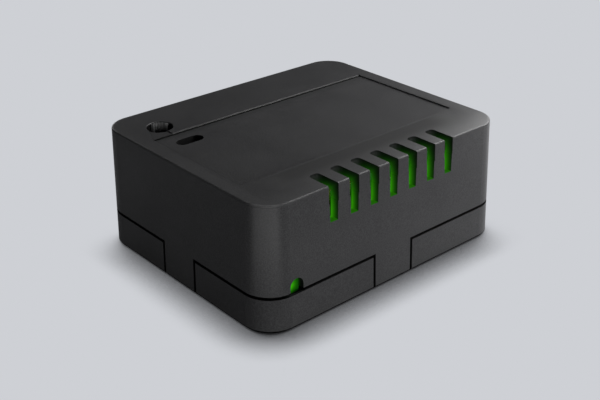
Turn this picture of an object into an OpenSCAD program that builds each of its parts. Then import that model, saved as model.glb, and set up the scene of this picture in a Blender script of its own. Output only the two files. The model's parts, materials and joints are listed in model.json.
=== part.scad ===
// Roller shutter module for a wall box. A two-part case holds a main board
// with a mains supply, two motor relays, a row of push-in wire terminals and
// an upright radio board behind the air slots.
// X runs along the slotted side, -Y faces out of it, Z is up, and the origin
// is the centre of the foot.

/* [Case] */
// Width of the top face
top_w = 45; // [41:0.5:52]
// Depth of the top face
top_d = 37.5; // [34:0.5:44]
// Radius of the upright corners at the top
corner_r = 3.9; // [3:0.1:5]
// How far each side leans out from the top down to the foot
lean = 0.52; // [0.2:0.02:0.8]
// Thickness of the side walls
wall = 1.4; // [1.2:0.05:1.5]
// Thickness of the top
top_t = 1.5; // [1.2:0.05:1.6]
// Thickness of the floor
floor_t = 1.4; // [1:0.1:1.6]
// Rounding round the top face
edge_r = 0.2; // [0.1:0.05:0.8]
// Bevel round the foot
foot_bevel = 0.3; // [0.1:0.05:0.5]
// Height of the seam between cover and tray
seam_z = 5.4; // [5.2:0.1:6]
// Width of the groove along the seam
seam_gap = 0.25; // [0.15:0.05:0.4]
// Gap between sliding case parts
slip = 0.15; // [0.1:0.01:0.2]
// Thickness of the tray's inner lip
lip_t = 0.9; // [0.7:0.05:1]
// Height of the lip above the seam
lip_h = 1.2; // [0.8:0.1:1.5]
// Width of the cover's four tongues
tongue_w = 7.05; // [5:0.05:9]
// Gap at each side of a tongue
tongue_gap = 0.25; // [0.15:0.05:0.4]

/* [Openings in the cover] */
// Number of air slots
slot_count = 7; // [3:1:9]
// Distance between air slots
slot_pitch = 3.67; // [3:0.01:4]
// Width of an air slot at the top edge
slot_top_w = 1.7; // [1:0.05:2]
// Width of an air slot at its sill
slot_sill_w = 1.36; // [0.8:0.02:1.8]
// Height of the slots' sills
slot_sill_z = 13.2; // [9:0.1:15]
// Length of the slots on the top face
slot_top_len = 4.1; // [2:0.1:5]
// Corner radius at the back of each slot
slot_corner_r = 0.55; // [0.1:0.05:0.6]
// Distance from the label recess to the left and right edges of the top
recess_side = 2.4; // [2:0.1:4]
// Distance from the label recess to the front edge of the top
recess_front = 7.75; // [6:0.05:9]
// Distance from the label recess to the back edge of the top
recess_back = 9.8; // [9:0.05:12]
// Depth of the label recess
recess_sink = 0.25; // [0.2:0.05:0.6]
// Chamfer along the back of the label recess
recess_chamfer = 0.12; // [0.05:0.01:0.15]
// Width and depth of the fine groove at the back of the label recess
recess_groove = 0.18; // [0.1:0.02:0.3]
// Distance of the button well from the left edge of the top
well_left = 5.8; // [5.6:0.1:7]
// Distance of the button well from the back edge of the top
well_back = 6.5; // [6.3:0.1:8]
// Radius of the button well
well_r = 1.9; // [1.7:0.05:2.2]
// Wall of the button well's tube
well_wall = 0.9; // [0.6:0.05:1]
// Width of the guide rib in the button well
well_rib_w = 0.5; // [0.3:0.05:0.8]
// Number of flutes round the button well, less two beside its rib
well_flutes = 30; // [12:2:36]
// Radius of each flute
well_flute_r = 0.12; // [0.08:0.01:0.14]
// Chamfer round the button well
well_chamfer = 0.12; // [0.05:0.01:0.2]
// Length of the sensor slot
sensor_slot_len = 4.3; // [3:0.1:5]
// Width of the sensor slot
sensor_slot_w = 2; // [1.5:0.1:2.4]
// Distance of the sensor slot from the button well, front to back
sensor_slot_step = 6.4; // [6:0.1:7]
// Distance of the sensor slot from the button well, to the right
sensor_slot_shift = 0.75; // [0:0.05:1.5]
// Width of the lamp notch
notch_w = 2.2; // [2:0.05:3]
// Height of the lamp notch above the seam
notch_h = 1.95; // [1.6:0.05:2.4]
// Distance of the lamp notch from the left edge of the top
notch_left = 4.86; // [4.6:0.02:7]

/* [Boards] */
// Thickness of the main board
board_t = 1.2; // [1:0.1:1.6]
// Height of the main board's underside
board_z = 3.4; // [3.2:0.1:3.5]
// Gap between the main board and the tray
board_gap = 0.2; // [0.1:0.05:0.4]
// Radius of the posts that carry the main board
post_r = 1.5; // [1.2:0.1:1.8]
// Radius of the pegs that locate the main board
peg_r = 0.8; // [0.6:0.05:1]
// Gap round pegs and solder pins in the main board
hole_gap = 0.1; // [0.06:0.02:0.2]
// Length of the solder pins below the main board
pin_tail = 0.9; // [0.6:0.1:1.2]
// Width of the upright radio board
radio_w = 27; // [24:0.5:28]
// Height of the radio board
radio_h = 11.6; // [10:0.1:14]
// Thickness of the radio board
radio_t = 1; // [0.8:0.1:1.2]
// Gap between the front wall and the radio board
radio_gap = 1.9; // [1.6:0.1:2.2]
// Number of pins that join the boards
header_count = 8; // [4:1:10]
// Distance between header pins
header_pitch = 2.54; // [2:0.01:2.54]
// Side of a square header pin
header_pin = 0.6; // [0.5:0.02:0.64]

/* [Terminals] */
// Gap between the service switch and the terminals
pole_clear = 3.54; // [1:0.02:4]
// Depth of a terminal from its face to its back
pole_d = 10.9; // [10.6:0.1:11.6]
// Gap between the terminals and the back wall
pole_gap = 0.3; // [0.2:0.05:0.4]
// Side walls of a terminal
pole_wall = 0.8; // [0.6:0.05:0.9]
// Depth of a terminal's front wall
pole_front = 3.5; // [3.2:0.1:3.6]
// Radius of the wire entry
entry_r = 1.3; // [1.1:0.05:1.4]
// Radius of the funnel in front of the wire entry
funnel_r = 1.7; // [1.5:0.05:1.8]
// Depth of the funnel
funnel_d = 0.7; // [0.4:0.1:1]
// Thickness of a terminal's floor
pole_floor = 1.6; // [1.2:0.1:2]
// Height of a release button
button_h = 1.4; // [1.2:0.05:1.6]
// Wall between a wire entry and its release button
button_lift = 0.8; // [0.5:0.05:1.2]
// Height from a release button's rim up to the bend of its spring
bend_lift = 1.25; // [1:0.05:1.5]
// Gap round a release button in its guide
button_gap = 0.08; // [0.05:0.01:0.1]
// Thickness of a clamp spring
spring_t = 0.3; // [0.2:0.05:0.4]
// Radius of the pin inside a clamp spring's bend
spring_pin_r = 0.35; // [0.3:0.02:0.4]
// Thickness of a contact bar
bar_t = 0.4; // [0.3:0.05:0.5]

/* [Relays] */
// Gap between the relays and the terminals
relay_back_gap = 1.33; // [0.8:0.01:2.5]
// Width of a relay
relay_w = 6.2; // [6:0.1:6.4]
// Height of a relay
relay_h = 11.4; // [10:0.1:14]
// Wall of a relay's cap
relay_wall = 0.5; // [0.4:0.05:0.6]
// Thickness of a relay's foot
relay_foot = 1.2; // [1:0.1:1.4]
// Gap between the two relays
relay_gap = 0.4; // [0.3:0.05:0.6]
// Distance from the relays to the right edge of the board
relay_edge = 1.5; // [1.4:0.1:1.8]
// Radius of a relay's coil
coil_r = 2; // [1.6:0.1:2.2]
// Air gap in front of a relay's core
air_gap = 0.35; // [0.25:0.05:0.4]

/* [Power parts] */
// Diameter of the bulk capacitor
bulk_d = 8; // [6:0.1:8.2]
// Height of the bulk capacitor
bulk_h = 11; // [9:0.1:14]
// Gap round the transformer
trafo_gap = 0.85; // [0.4:0.05:1.5]
// Height of the transformer
trafo_h = 9.2; // [8:0.1:12]
// Gap at each end of the film capacitor
film_gap = 2.2; // [1:0.1:3]
// Thickness of the film capacitor
film_t = 4.4; // [3:0.1:5]
// Height of the film capacitor
film_h = 9.4; // [8:0.1:12]
// Gap in front of and behind the varistor
varistor_gap = 1.3; // [0.6:0.1:2]
// Thickness of the varistor
varistor_t = 3.2; // [2.5:0.1:3.4]
// Length of the fuse
fuse_l = 8.2; // [7:0.1:8.4]
// Thickness of the fuse
fuse_t = 3.8; // [3:0.1:4]
// Height of the fuse
fuse_h = 7.6; // [6:0.1:9]
// Width of the bridge rectifier
bridge_w = 3.6; // [3:0.1:4]
// Length of the bridge rectifier
bridge_l = 4.4; // [4:0.1:4.8]
// Height of the bridge rectifier
bridge_h = 2.4; // [1.8:0.1:2.6]

/* [Button, lamp and sensor socket] */
// Side of the service switch's body
switch_w = 6; // [5.8:0.1:6.2]
// Height of the service switch's body
switch_h = 3.4; // [3:0.1:3.6]
// Thickness of the switch's metal lid
switch_lid_t = 0.25; // [0.2:0.05:0.3]
// Gap between the plunger and the well
plunger_gap = 0.25; // [0.2:0.05:0.4]
// Depth of the plunger's tip below the top face
plunger_sink = 2.6; // [1.5:0.1:4]
// Stroke of the service switch
plunger_stroke = 0.3; // [0.2:0.05:0.35]
// Gap between the lamp's lens and its notch
lamp_gap = 0.12; // [0.1:0.01:0.2]
// Reach of the lens into the notch
lamp_reach = 0.5; // [0.2:0.05:0.8]
// Width of the sensor socket
socket_w = 4.8; // [4.6:0.1:5]
// Thickness of the sensor socket
socket_t = 2.6; // [2.4:0.1:2.8]
// Height of the sensor socket
socket_h = 7; // [5:0.1:9]

/* [Hidden] */
$fn = 64;
beyond = 1;
pole_count = 6;
fine = 0.05;

// A terminal's height is that of what it holds
button_rim = 0.3;
bend_room = 0.15;
bar_drop = 0.1;
bend_r = spring_pin_r + fine + spring_t;
entry_z = pole_floor + bar_t + bar_drop + entry_r;
button_z = entry_z + entry_r + button_lift + button_h / 2;
bend_z = button_z + button_h / 2 + button_rim + bend_lift + bend_r;
chamber_roof = bend_z + bend_r + bend_room;
pole_h = chamber_roof + pole_wall;

// The case is as high as the tallest thing on the main board
head_room = 0.4;
radio_foot = 0.3;
board_top = board_z + board_t;
ceiling_z = board_top + head_room
    + max(radio_foot + radio_h, relay_h, pole_h, bulk_h, film_h, trafo_h, fuse_h, socket_h);
body_h = ceiling_z + top_t;

// Plan limits
half_w = top_w / 2;
half_d = top_d / 2;
tray_top = seam_z - seam_gap;
notch_wall = wall + slip;
tray_wall = notch_wall + lip_t;
board_hw = half_w + lean_at(board_top) - tray_wall - board_gap;
board_hd = half_d + lean_at(board_top) - tray_wall - board_gap;

// Hold-down ribs of the cover
rib_t = 1;
rib_reach = 1.2;
rib_y = 1.5;
edge_margin = rib_reach + 0.3;

// Openings
well_x = -half_w + well_left;
well_y = half_d - well_back;
well_rib_turn = 25;
sensor_x = well_x + sensor_slot_shift;
sensor_y = well_y - sensor_slot_step;
notch_x = -half_w + notch_left;

// Radio board and header
pole_face = half_d + lean_at(board_top + pole_h) - wall - pole_gap;
radio_y = -(half_d + lean_at(slot_sill_z) - wall) + radio_gap;
radio_back = radio_y + radio_t;
strip_h = 2.5;
strip_d = 2.5;
header_rise = 1.3;
header_y = radio_back + strip_d / 2;
shield_w = 13;
shield_h = 6.5;
shield_d = 1.8;
shield_t = 0.2;
shield_z = board_top + 4.2;
chip_w = 3.6;
chip_t = 0.9;
chip_gap = 1;
crystal_w = 3.2;
crystal_h = 4.6;
crystal_t = 1.2;
crystal_gap = 1.2;

// Lamp behind its notch
lamp_z = seam_z + notch_h / 2;
lens_w = notch_w - 2 * lamp_gap;
lens_top = seam_z + notch_h - lamp_gap;
lens_low = board_top + 0.2;
lamp_w = lens_w + 0.2;
lamp_t = 1.4;
lamp_y = -(board_hd - 0.5) + lamp_t / 2;
lamp_tip = -(half_d + lean_at(lamp_z) - wall) - lamp_reach;
lamp_pitch = 1.27;

// Parts along the left edge, from the back to the front
left_x = -board_hw + edge_margin;
fuse_gap = 0.65;
bulk_gap = 0.4;
column_gap = 0.5;
lead_r = 0.3;
fuse_pin_x = 2.5;
fuse_x = left_x + fuse_l / 2;
fuse_front = sensor_y - socket_t / 2 - fuse_gap - fuse_t;
fuse_y = fuse_front + fuse_t / 2;
bulk_x = left_x + varistor_t + column_gap + bulk_d / 2;
bulk_y = fuse_front - bulk_gap - bulk_d / 2;
bulk_pin_x = bulk_d / 4.5;
bridge_x = left_x + bridge_w / 2;
bridge_y = lamp_y + lamp_t / 2 + column_gap + bridge_l / 2;
bridge_back = bridge_y + bridge_l / 2;
varistor_d = fuse_front - bridge_back - 2 * varistor_gap;
varistor_x = left_x + varistor_t / 2;
varistor_y = (fuse_front + bridge_back) / 2;
varistor_pin_y = varistor_d / 2 - 1;

// Relays along the right edge
relay_front = radio_back + strip_d + 0.6;
relay_l = pole_face - pole_d - relay_back_gap - relay_front;
relay_y = relay_front + relay_l / 2;
down_x = board_hw - relay_edge - relay_w / 2;
up_x = down_x - relay_w - relay_gap;
cap_r = 0.5;
flange_r = coil_r + 0.25;
core_r = 1;
yoke_t = 0.6;
yoke_w = 3.6;
coil_z = relay_foot + 0.2 + flange_r;
coil_y = -relay_l / 2 + relay_wall + 0.2 + yoke_t;
contact_end = 8.4;
coil_l = relay_l - contact_end;
pole_y = coil_y + fine + coil_l + fine;
pole_t = 0.4;
pole_r = 1.6;
armature_y = pole_y + pole_t + air_gap;
yoke_z = coil_z + flange_r + 0.1;
blade_t = 0.25;
blade_top = relay_h - relay_wall - 0.5;
tip_r = 0.6;
tip_z = blade_top - 0.9;
tip_reach = 0.25;
post_y = armature_y + yoke_t / 2 + tip_reach + 0.5;
post_t = 0.3;
pin_w = 0.6;
coil_pin_x = 2.2;
common_y = relay_l / 2 - 1.6;

// The transformer fills the room between capacitor and relays
trafo_leg = 1.5;
trafo_yoke = 1.6;
trafo_middle = 2.6;
bulk_right = bulk_x + bulk_d / 2;
relays_left = up_x - relay_w / 2;
strip_back = radio_back + strip_d;
film_back = pole_face - pole_d - 1.8;
film_y = film_back - film_t / 2;
film_l = relays_left - left_x - fuse_l - 2 * film_gap;
film_x = relays_left - film_gap - film_l / 2;
trafo_w = relays_left - bulk_right - 2 * trafo_gap;
trafo_x = bulk_right + trafo_gap + trafo_w / 2;
trafo_d = film_back - film_t - strip_back - 2 * trafo_gap;
trafo_y = strip_back + trafo_gap + trafo_d / 2;
core_d = trafo_d / 2;
coil_w = trafo_w - 2 * trafo_leg - 0.2;
trafo_pin_x = coil_w / 2 - 0.7;
trafo_pin_y = trafo_d / 2 - 0.7;
film_pin_x = film_l / 2 - 1;

// Terminals, seen from the middle of each terminal's face at board level
pole_edge = 0.4;
pole_right = board_hw - pole_edge;
pole_w = (pole_right - well_x - switch_w / 2 - pole_clear) / pole_count;
chamber_w = pole_w - 2 * pole_wall;
spring_w = chamber_w - 0.8;
button_w = chamber_w - 2 * button_rim - 0.4;
bar_w = chamber_w - 0.2;
bar_top = pole_floor + bar_t;
chamber_back = pole_d - pole_wall;
bend_y = -(pole_front + bend_r + bend_room);
leg_offset = spring_pin_r + fine + spring_t / 2;
leg_angle = 30;
leg_drop = bend_z - bar_top - 0.3;
leg_l = (leg_drop - leg_offset * sin(leg_angle)) / cos(leg_angle);
nose_r = button_h / 2;
nose_clear = 0.12;
nose_y = bend_y + (nose_r + spring_t / 2 + nose_clear + leg_offset
    - (bend_z - button_z) * sin(leg_angle)) / cos(leg_angle);
head_t = 0.5;
button_proud = 0.1;
solder_y = -7;
solder_w = 0.8;
solder_t = 0.5;

// Service switch and sensor socket
plunger_r = well_r - plunger_gap;
plunger_top = body_h - plunger_sink;
flange_t = 0.6;
switch_cavity = flange_t + plunger_stroke + 0.2;
switch_pin_x = switch_w / 2 + 0.1;
switch_pin_y = 2.25;
socket_wall = 0.5;
socket_pitch = 1.27;
socket_pin = 0.5;

// Posts under the main board
post_in = post_r + 1.1;
front_post_y = radio_back + strip_d / 2;
posts = [
    [bridge_x + bridge_w / 2 + column_gap + post_r, front_post_y],
    [board_hw - post_in, front_post_y],
    [well_x + switch_pin_x + post_r + 0.2, sensor_y + socket_t / 2 + post_r],
    [board_hw - post_in, board_hd - post_in]
];

function lean_at(z) = lean * (body_h - z) / body_h;
function pole_x(i) = pole_right - pole_w * (pole_count - i + 0.5);
function slot_x(i) = (i - (slot_count - 1) / 2) * slot_pitch;
function header_x(i) = (i - (header_count - 1) / 2) * header_pitch;

// A rounded block with leaning sides. Each level is a height and how far
// the sides stand out there beyond the top face.
module leaning_block(levels) {
    rib_w = top_w - 2 * corner_r;
    rib_d = top_d - 2 * corner_r;
    last = len(levels) - 1;
    translate([-rib_w / 2, 0, 0])
        rotate([90, 0, 90])
            linear_extrude(rib_w)
                polygon(concat(
                    [for (l = levels) [half_d + l[1], l[0]]],
                    [for (i = [last:-1:0]) [-half_d - levels[i][1], levels[i][0]]]));
    translate([0, rib_d / 2, 0])
        rotate([90, 0, 0])
            linear_extrude(rib_d)
                polygon(concat(
                    [for (l = levels) [half_w + l[1], l[0]]],
                    [for (i = [last:-1:0]) [-half_w - levels[i][1], levels[i][0]]]));
    for (sx = [-1, 1], sy = [-1, 1])
        translate([sx * rib_w / 2, sy * rib_d / 2, 0])
            rotate_extrude()
                polygon(concat(
                    [[0, levels[0][0]]],
                    [for (l = levels) [corner_r + l[1], l[0]]],
                    [[0, levels[last][0]]]));
}

// The case's own leaning sides between two heights, set in by a wall
module level(z0, z1, inset) {
    leaning_block([[z0, lean_at(z0) - inset], [z1, lean_at(z1) - inset]]);
}

// The bevelled foot, the leaning sides and the rounded top edge
module outside() {
    leaning_block(concat(
        [[0, lean_at(0) - foot_bevel], [foot_bevel, lean_at(foot_bevel)]],
        [for (a = [0:30:90])
            let (z = body_h - edge_r * (1 - sin(a)))
            [z, lean_at(z) - edge_r * (1 - cos(a))]]));
}

module rounded_box(w, d, h, r) {
    for (sx = [-1, 1], sy = [-1, 1])
        translate([sx * (w / 2 - r), sy * (d / 2 - r), 0])
            cylinder(h = h, r = r, $fn = 32);
    translate([-(w / 2 - r), -d / 2, 0])
        cube([w - 2 * r, d, h]);
    translate([-w / 2, -(d / 2 - r), 0])
        cube([w, d - 2 * r, h]);
}

module centred_box(w, d, h) {
    translate([-w / 2, -d / 2, 0])
        cube([w, d, h]);
}

// Four copies, one facing out of each side of the case
module each_side() {
    for (side = [[0, half_d], [90, half_w], [180, half_d], [270, half_w]])
        rotate([0, 0, side[0]])
            translate([0, -side[1], 0])
                children();
}

module tongue_zone(w, h) {
    each_side()
        translate([-w / 2, -2 * lean - beyond, -beyond])
            cube([w, tray_wall + 2 * lean + beyond, h + beyond]);
}

// The rounded ridge that holds each tongue
module catch_bar(r, l) {
    catch_z = seam_z / 2;
    reach = lean_at(catch_z) - notch_wall + 0.25 - slip * 0.7;
    each_side()
        translate([-l / 2, -reach, catch_z])
            rotate([0, 90, 0])
                cylinder(h = l, r = r, $fn = 24);
}

module air_slot() {
    front = -(half_d + 2 * lean + beyond);
    back = -(half_d - slot_top_len);
    half_sill = slot_sill_w / 2;
    half_top = slot_top_w / 2;
    rise = body_h - slot_sill_z;
    half_high = half_sill + (half_top - half_sill) * (rise + beyond) / rise;
    // Through the front wall, widening towards the top
    translate([0, -(half_d - wall - edge_r), 0])
        rotate([90, 0, 0])
            linear_extrude(wall + edge_r + 2 * lean + beyond)
                polygon([
                    [-half_sill, slot_sill_z], [half_sill, slot_sill_z],
                    [half_high, body_h + beyond], [-half_high, body_h + beyond]
                ]);
    // Back over the top
    translate([0, (front + back) / 2, ceiling_z - beyond])
        rounded_box(slot_top_w, back - front, top_t + 2 * beyond, slot_corner_r);
}

module lamp_notch() {
    r = notch_w / 2;
    translate([notch_x, -(half_d - wall - lip_t), 0])
        rotate([90, 0, 0])
            linear_extrude(tray_wall + 2 * lean + beyond) {
                translate([-r, seam_z - beyond])
                    square([notch_w, notch_h - r + beyond]);
                translate([0, seam_z + notch_h - r])
                    circle(r = r, $fn = 48);
            }
}

module terminal_window() {
    low = board_top + entry_z - funnel_r - 0.1;
    high = board_top + button_z + button_h / 2 + 0.5;
    w = pole_w * pole_count - 0.6;
    translate([(pole_x(1) + pole_x(pole_count)) / 2, half_d - wall - beyond, (low + high) / 2])
        rotate([-90, 0, 0])
            rounded_box(w, high - low, wall + 2 * beyond + lean, 0.8);
}

module hold_down(side) {
    x = side * (half_w + lean_at(seam_z) - wall + 0.3);
    foot = side * (board_hw - rib_reach);
    above_lip = seam_z + lip_h + slip;
    translate([min(x, foot), rib_y - rib_t / 2, above_lip])
        cube([abs(x - foot), rib_t, ceiling_z - above_lip + fine]);
    translate([min(foot, foot + side * (rib_reach - board_gap)), rib_y - rib_t / 2, board_top + 0.1])
        cube([rib_reach - board_gap, rib_t, above_lip - board_top]);
}

// The label recess, with a chamfer and a fine groove along its back
module label_recess() {
    w = top_w - 2 * recess_side;
    back = half_d - recess_back;
    floor_z = body_h - recess_sink;
    translate([0, (recess_front - recess_back) / 2, floor_z])
        rounded_box(w, top_d - recess_front - recess_back, recess_sink + beyond, 0.3);
    translate([-w / 2, 0, 0])
        rotate([90, 0, 90])
            linear_extrude(w)
                polygon([
                    [back - recess_groove, body_h + beyond],
                    [back - recess_groove, floor_z - recess_groove],
                    [back, floor_z - recess_groove], [back, body_h - recess_chamfer],
                    [back + recess_chamfer, body_h], [back + recess_chamfer, body_h + beyond]
                ]);
    // Shallow way from the button well down to the recess
    translate([0, 0, body_h - recess_sink / 2])
        linear_extrude(recess_sink)
            polygon([
                [-w / 2, back - fine], [well_x, back - fine],
                [well_x, well_y - well_r / 2], [well_x - well_r, well_y]
            ]);
}

// The fluted button well, but for its guide rib
module button_well() {
    step = 360 / well_flutes;
    translate([well_x, well_y, 0])
        rotate([0, 0, well_rib_turn]) {
            difference() {
                cylinder(h = body_h + beyond, r = well_r);
                translate([plunger_r + 2 * fine, -well_rib_w / 2, 0])
                    cube([well_r, well_rib_w, body_h - edge_r]);
            }
            for (i = [1:well_flutes - 2])
                rotate([0, 0, (i + 0.5) * step])
                    translate([well_r, 0, 0])
                        cylinder(h = body_h + beyond, r = well_flute_r, $fn = 16);
            translate([0, 0, body_h - well_chamfer])
                cylinder(h = well_chamfer + beyond, r1 = well_r, r2 = well_r + well_chamfer + beyond);
        }
}

module top_cover() {
    tube_z = board_top + switch_h + switch_lid_t + 0.4;
    color("#2b2b2c")
    difference() {
        union() {
            difference() {
                outside();
                level(-beyond, ceiling_z, wall);
                // Below the seam only the four tongues are left
                difference() {
                    translate([0, 0, -beyond])
                        centred_box(2 * top_w, 2 * top_d, seam_z + beyond);
                    tongue_zone(tongue_w, seam_z + beyond);
                }
                catch_bar(0.3, tongue_w - 1.4);
            }
            translate([well_x, well_y, tube_z])
                cylinder(h = ceiling_z - tube_z + fine, r = well_r + well_wall);
            intersection() {
                union() {
                    hold_down(-1);
                    hold_down(1);
                }
                level(0, body_h, wall / 2);
            }
        }
        for (i = [0:slot_count - 1])
            translate([slot_x(i), 0, 0])
                air_slot();
        lamp_notch();
        terminal_window();
        label_recess();
        button_well();
        // Slot over the sensor socket
        translate([sensor_x, sensor_y, ceiling_z - beyond])
            rounded_box(sensor_slot_len, sensor_slot_w, top_t + 2 * beyond, sensor_slot_w / 2 - 0.01);
    }
}

module base_tray() {
    color("#272728")
    difference() {
        union() {
            difference() {
                union() {
                    intersection() {
                        outside();
                        centred_box(2 * top_w, 2 * top_d, tray_top);
                    }
                    // Inner lip
                    level(floor_t, seam_z + lip_h, notch_wall);
                }
                level(floor_t, body_h, tray_wall);
            }
            for (p = posts)
                translate([p[0], p[1], floor_t - fine]) {
                    cylinder(h = board_z - floor_t + fine, r = post_r);
                    cylinder(h = board_top - floor_t, r = peg_r);
                }
        }
        // The four notches for the cover's tongues
        difference() {
            tongue_zone(tongue_w + 2 * tongue_gap, seam_z);
            difference() {
                level(-2 * beyond, seam_z + lip_h, notch_wall);
                translate([0, 0, -2 * beyond])
                    centred_box(2 * top_w, 2 * top_d, beyond);
            }
            catch_bar(0.25, tongue_w - 2);
        }
        // The lip stops at the lamp and at the terminals
        translate([notch_x, -board_hd - board_gap, board_top - 0.2])
            centred_box(notch_w + 0.8, 4, lip_h + seam_z);
        translate([(pole_x(1) + pole_x(pole_count)) / 2, pole_face - 0.8, board_top - 0.2])
            centred_box(pole_w * pole_count + 0.6, 2.2, lip_h + seam_z);
    }
}

// Boards

module pin_hole(x, y, r) {
    translate([x, y, board_z - beyond])
        cylinder(h = board_t + 2 * beyond, r = r + hole_gap, $fn = 24);
}

module main_board() {
    square_r = pin_w / sqrt(2);
    color("#1f7a34")
    difference() {
        translate([0, 0, board_z])
            rounded_box(2 * board_hw, 2 * board_hd, board_t, corner_r - tray_wall + 1);
        for (p = posts)
            pin_hole(p[0], p[1], peg_r);
        for (i = [0:header_count - 1])
            pin_hole(header_x(i), header_y, header_pin / sqrt(2));
        for (i = [1:pole_count])
            pin_hole(pole_x(i), pole_face + solder_y, solder_w / 2);
        for (x = [up_x, down_x]) {
            for (p = relay_pin_places())
                pin_hole(x + p[0], relay_y + p[1], square_r);
        }
        for (s = [-1, 1]) {
            pin_hole(bulk_x + s * bulk_pin_x, bulk_y, lead_r);
            pin_hole(film_x + s * film_pin_x, film_y, lead_r);
            pin_hole(varistor_x, varistor_y + s * varistor_pin_y, lead_r);
            pin_hole(fuse_x + s * fuse_pin_x, fuse_y, lead_r);
            pin_hole(notch_x + s * lamp_pitch / 2, lamp_y, 0.25);
            for (t = [-1, 1]) {
                pin_hole(trafo_x + s * trafo_pin_x, trafo_y + t * trafo_pin_y, lead_r);
                pin_hole(well_x + s * switch_pin_x, well_y + t * switch_pin_y, 0.35);
            }
        }
        for (i = [-1:1])
            pin_hole(sensor_x + i * socket_pitch, sensor_y, socket_pin / sqrt(2));
    }
}

module radio_board() {
    color("#1f7a34")
    difference() {
        translate([-radio_w / 2, radio_y, board_top + radio_foot])
            cube([radio_w, radio_t, radio_h]);
        for (i = [0:header_count - 1])
            translate([header_x(i), radio_back + beyond, board_top + header_rise])
                rotate([90, 0, 0])
                    cylinder(h = radio_t + 2 * beyond, r = header_pin / sqrt(2) + hole_gap, $fn = 24);
    }
}

module radio_shield() {
    color("silver")
    difference() {
        translate([-shield_w / 2, radio_back, shield_z])
            cube([shield_w, shield_d, shield_h]);
        translate([-shield_w / 2 + shield_t, radio_back - beyond, shield_z + shield_t])
            cube([shield_w - 2 * shield_t, shield_d + beyond - shield_t, shield_h - 2 * shield_t]);
    }
}

module control_chip() {
    color("#202022")
    translate([-shield_w / 2 - chip_gap - chip_w, radio_back, shield_z + (shield_h - chip_w) / 2])
        cube([chip_w, chip_t, chip_w]);
}

module clock_crystal() {
    color("silver")
    translate([shield_w / 2 + crystal_gap + crystal_w / 2, radio_back, shield_z + shield_h / 2])
        rotate([-90, 0, 0])
            rounded_box(crystal_w, crystal_h, crystal_t, crystal_w / 2 - 0.01);
}

module header_pins() {
    half = header_pin / 2;
    color("gold")
    for (i = [0:header_count - 1])
        translate([header_x(i), 0, 0]) {
            translate([-half, radio_y - 0.4, board_top + header_rise - half])
                cube([header_pin, header_y + half - radio_y + 0.4, header_pin]);
            translate([-half, header_y - half, board_z - pin_tail])
                cube([header_pin, header_pin, board_t + pin_tail + header_rise + half]);
        }
}

module header_strip() {
    color("#202022")
    difference() {
        translate([-header_count * header_pitch / 2, radio_back, board_top])
            cube([header_count * header_pitch, strip_d, strip_h]);
        header_pins();
    }
}

// Lamp, service switch and sensor socket

module status_lamp() {
    r = lens_w / 2;
    color("#35d41a") {
        translate([notch_x, lamp_y, board_top])
            centred_box(lamp_w, lamp_t, lens_top + 0.1 - board_top);
        // Lens of the notch's own shape
        translate([notch_x, lamp_y, 0])
            rotate([90, 0, 0])
                linear_extrude(lamp_y - lamp_tip) {
                    translate([-r, lens_low])
                        square([lens_w, lens_top - r - lens_low]);
                    translate([0, lens_top - r])
                        circle(r = r, $fn = 48);
                }
        for (s = [-1, 1])
            translate([notch_x + s * lamp_pitch / 2, lamp_y, board_z - pin_tail])
                cylinder(h = board_t + pin_tail + fine, r = 0.25, $fn = 24);
    }
}

module switch_body() {
    color("#202022")
    translate([well_x, well_y, board_top])
        difference() {
            union() {
                centred_box(switch_w, switch_w, switch_h);
                for (s = [-1, 1], t = [-1, 1])
                    translate([s * switch_pin_x, t * switch_pin_y, -board_t - pin_tail])
                        cylinder(h = board_t + pin_tail + 1, r = 0.35, $fn = 24);
            }
            translate([0, 0, switch_h - switch_cavity])
                cylinder(h = switch_cavity + beyond, r = plunger_r + 0.35);
        }
}

module switch_lid() {
    color("silver")
    translate([well_x, well_y, board_top + switch_h])
        difference() {
            centred_box(switch_w, switch_w, switch_lid_t);
            translate([0, 0, -beyond])
                cylinder(h = switch_lid_t + 2 * beyond, r = plunger_r + 0.08);
        }
}

module switch_plunger() {
    foot_z = board_top + switch_h - fine - flange_t;
    chamfer = 0.3;
    color("#3a3a3c")
    translate([well_x, well_y, 0])
        rotate_extrude()
            polygon([
                [0, foot_z], [plunger_r + 0.25, foot_z],
                [plunger_r + 0.25, foot_z + flange_t], [plunger_r, foot_z + flange_t],
                [plunger_r, plunger_top - chamfer], [plunger_r - chamfer, plunger_top],
                [0, plunger_top]
            ]);
}

module sensor_pins() {
    color("gold")
    for (i = [-1:1])
        translate([sensor_x + i * socket_pitch, sensor_y, board_z - pin_tail])
            centred_box(socket_pin, socket_pin, board_t + pin_tail + socket_h - 1.5);
}

module sensor_socket() {
    color("#202022")
    difference() {
        translate([sensor_x, sensor_y, board_top])
            centred_box(socket_w, socket_t, socket_h);
        translate([sensor_x, sensor_y, board_top + 1])
            centred_box(socket_w - 2 * socket_wall, socket_t - 2 * socket_wall, socket_h);
        sensor_pins();
    }
}

// Mains supply

module lead_pair(gap_x, gap_y) {
    for (s = [-1, 1])
        translate([s * gap_x, s * gap_y, -board_t - pin_tail])
            cylinder(h = board_t + pin_tail + 0.6, r = lead_r, $fn = 24);
}

module bulk_capacitor() {
    r = bulk_d / 2;
    color("#1d2b45")
    translate([bulk_x, bulk_y, board_top]) {
        rotate_extrude()
            polygon([
                [0, 0], [r - 0.4, 0], [r, 0.4], [r, 1], [r - 0.35, 1.4], [r, 1.8],
                [r, bulk_h - 0.5], [r - 0.5, bulk_h], [0, bulk_h]
            ]);
        lead_pair(bulk_pin_x, 0);
    }
}

module film_capacitor() {
    color("#d9b520")
    translate([film_x, film_y, board_top]) {
        rounded_box(film_l, film_t, film_h, 0.4);
        lead_pair(film_pin_x, 0);
    }
}

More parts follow.
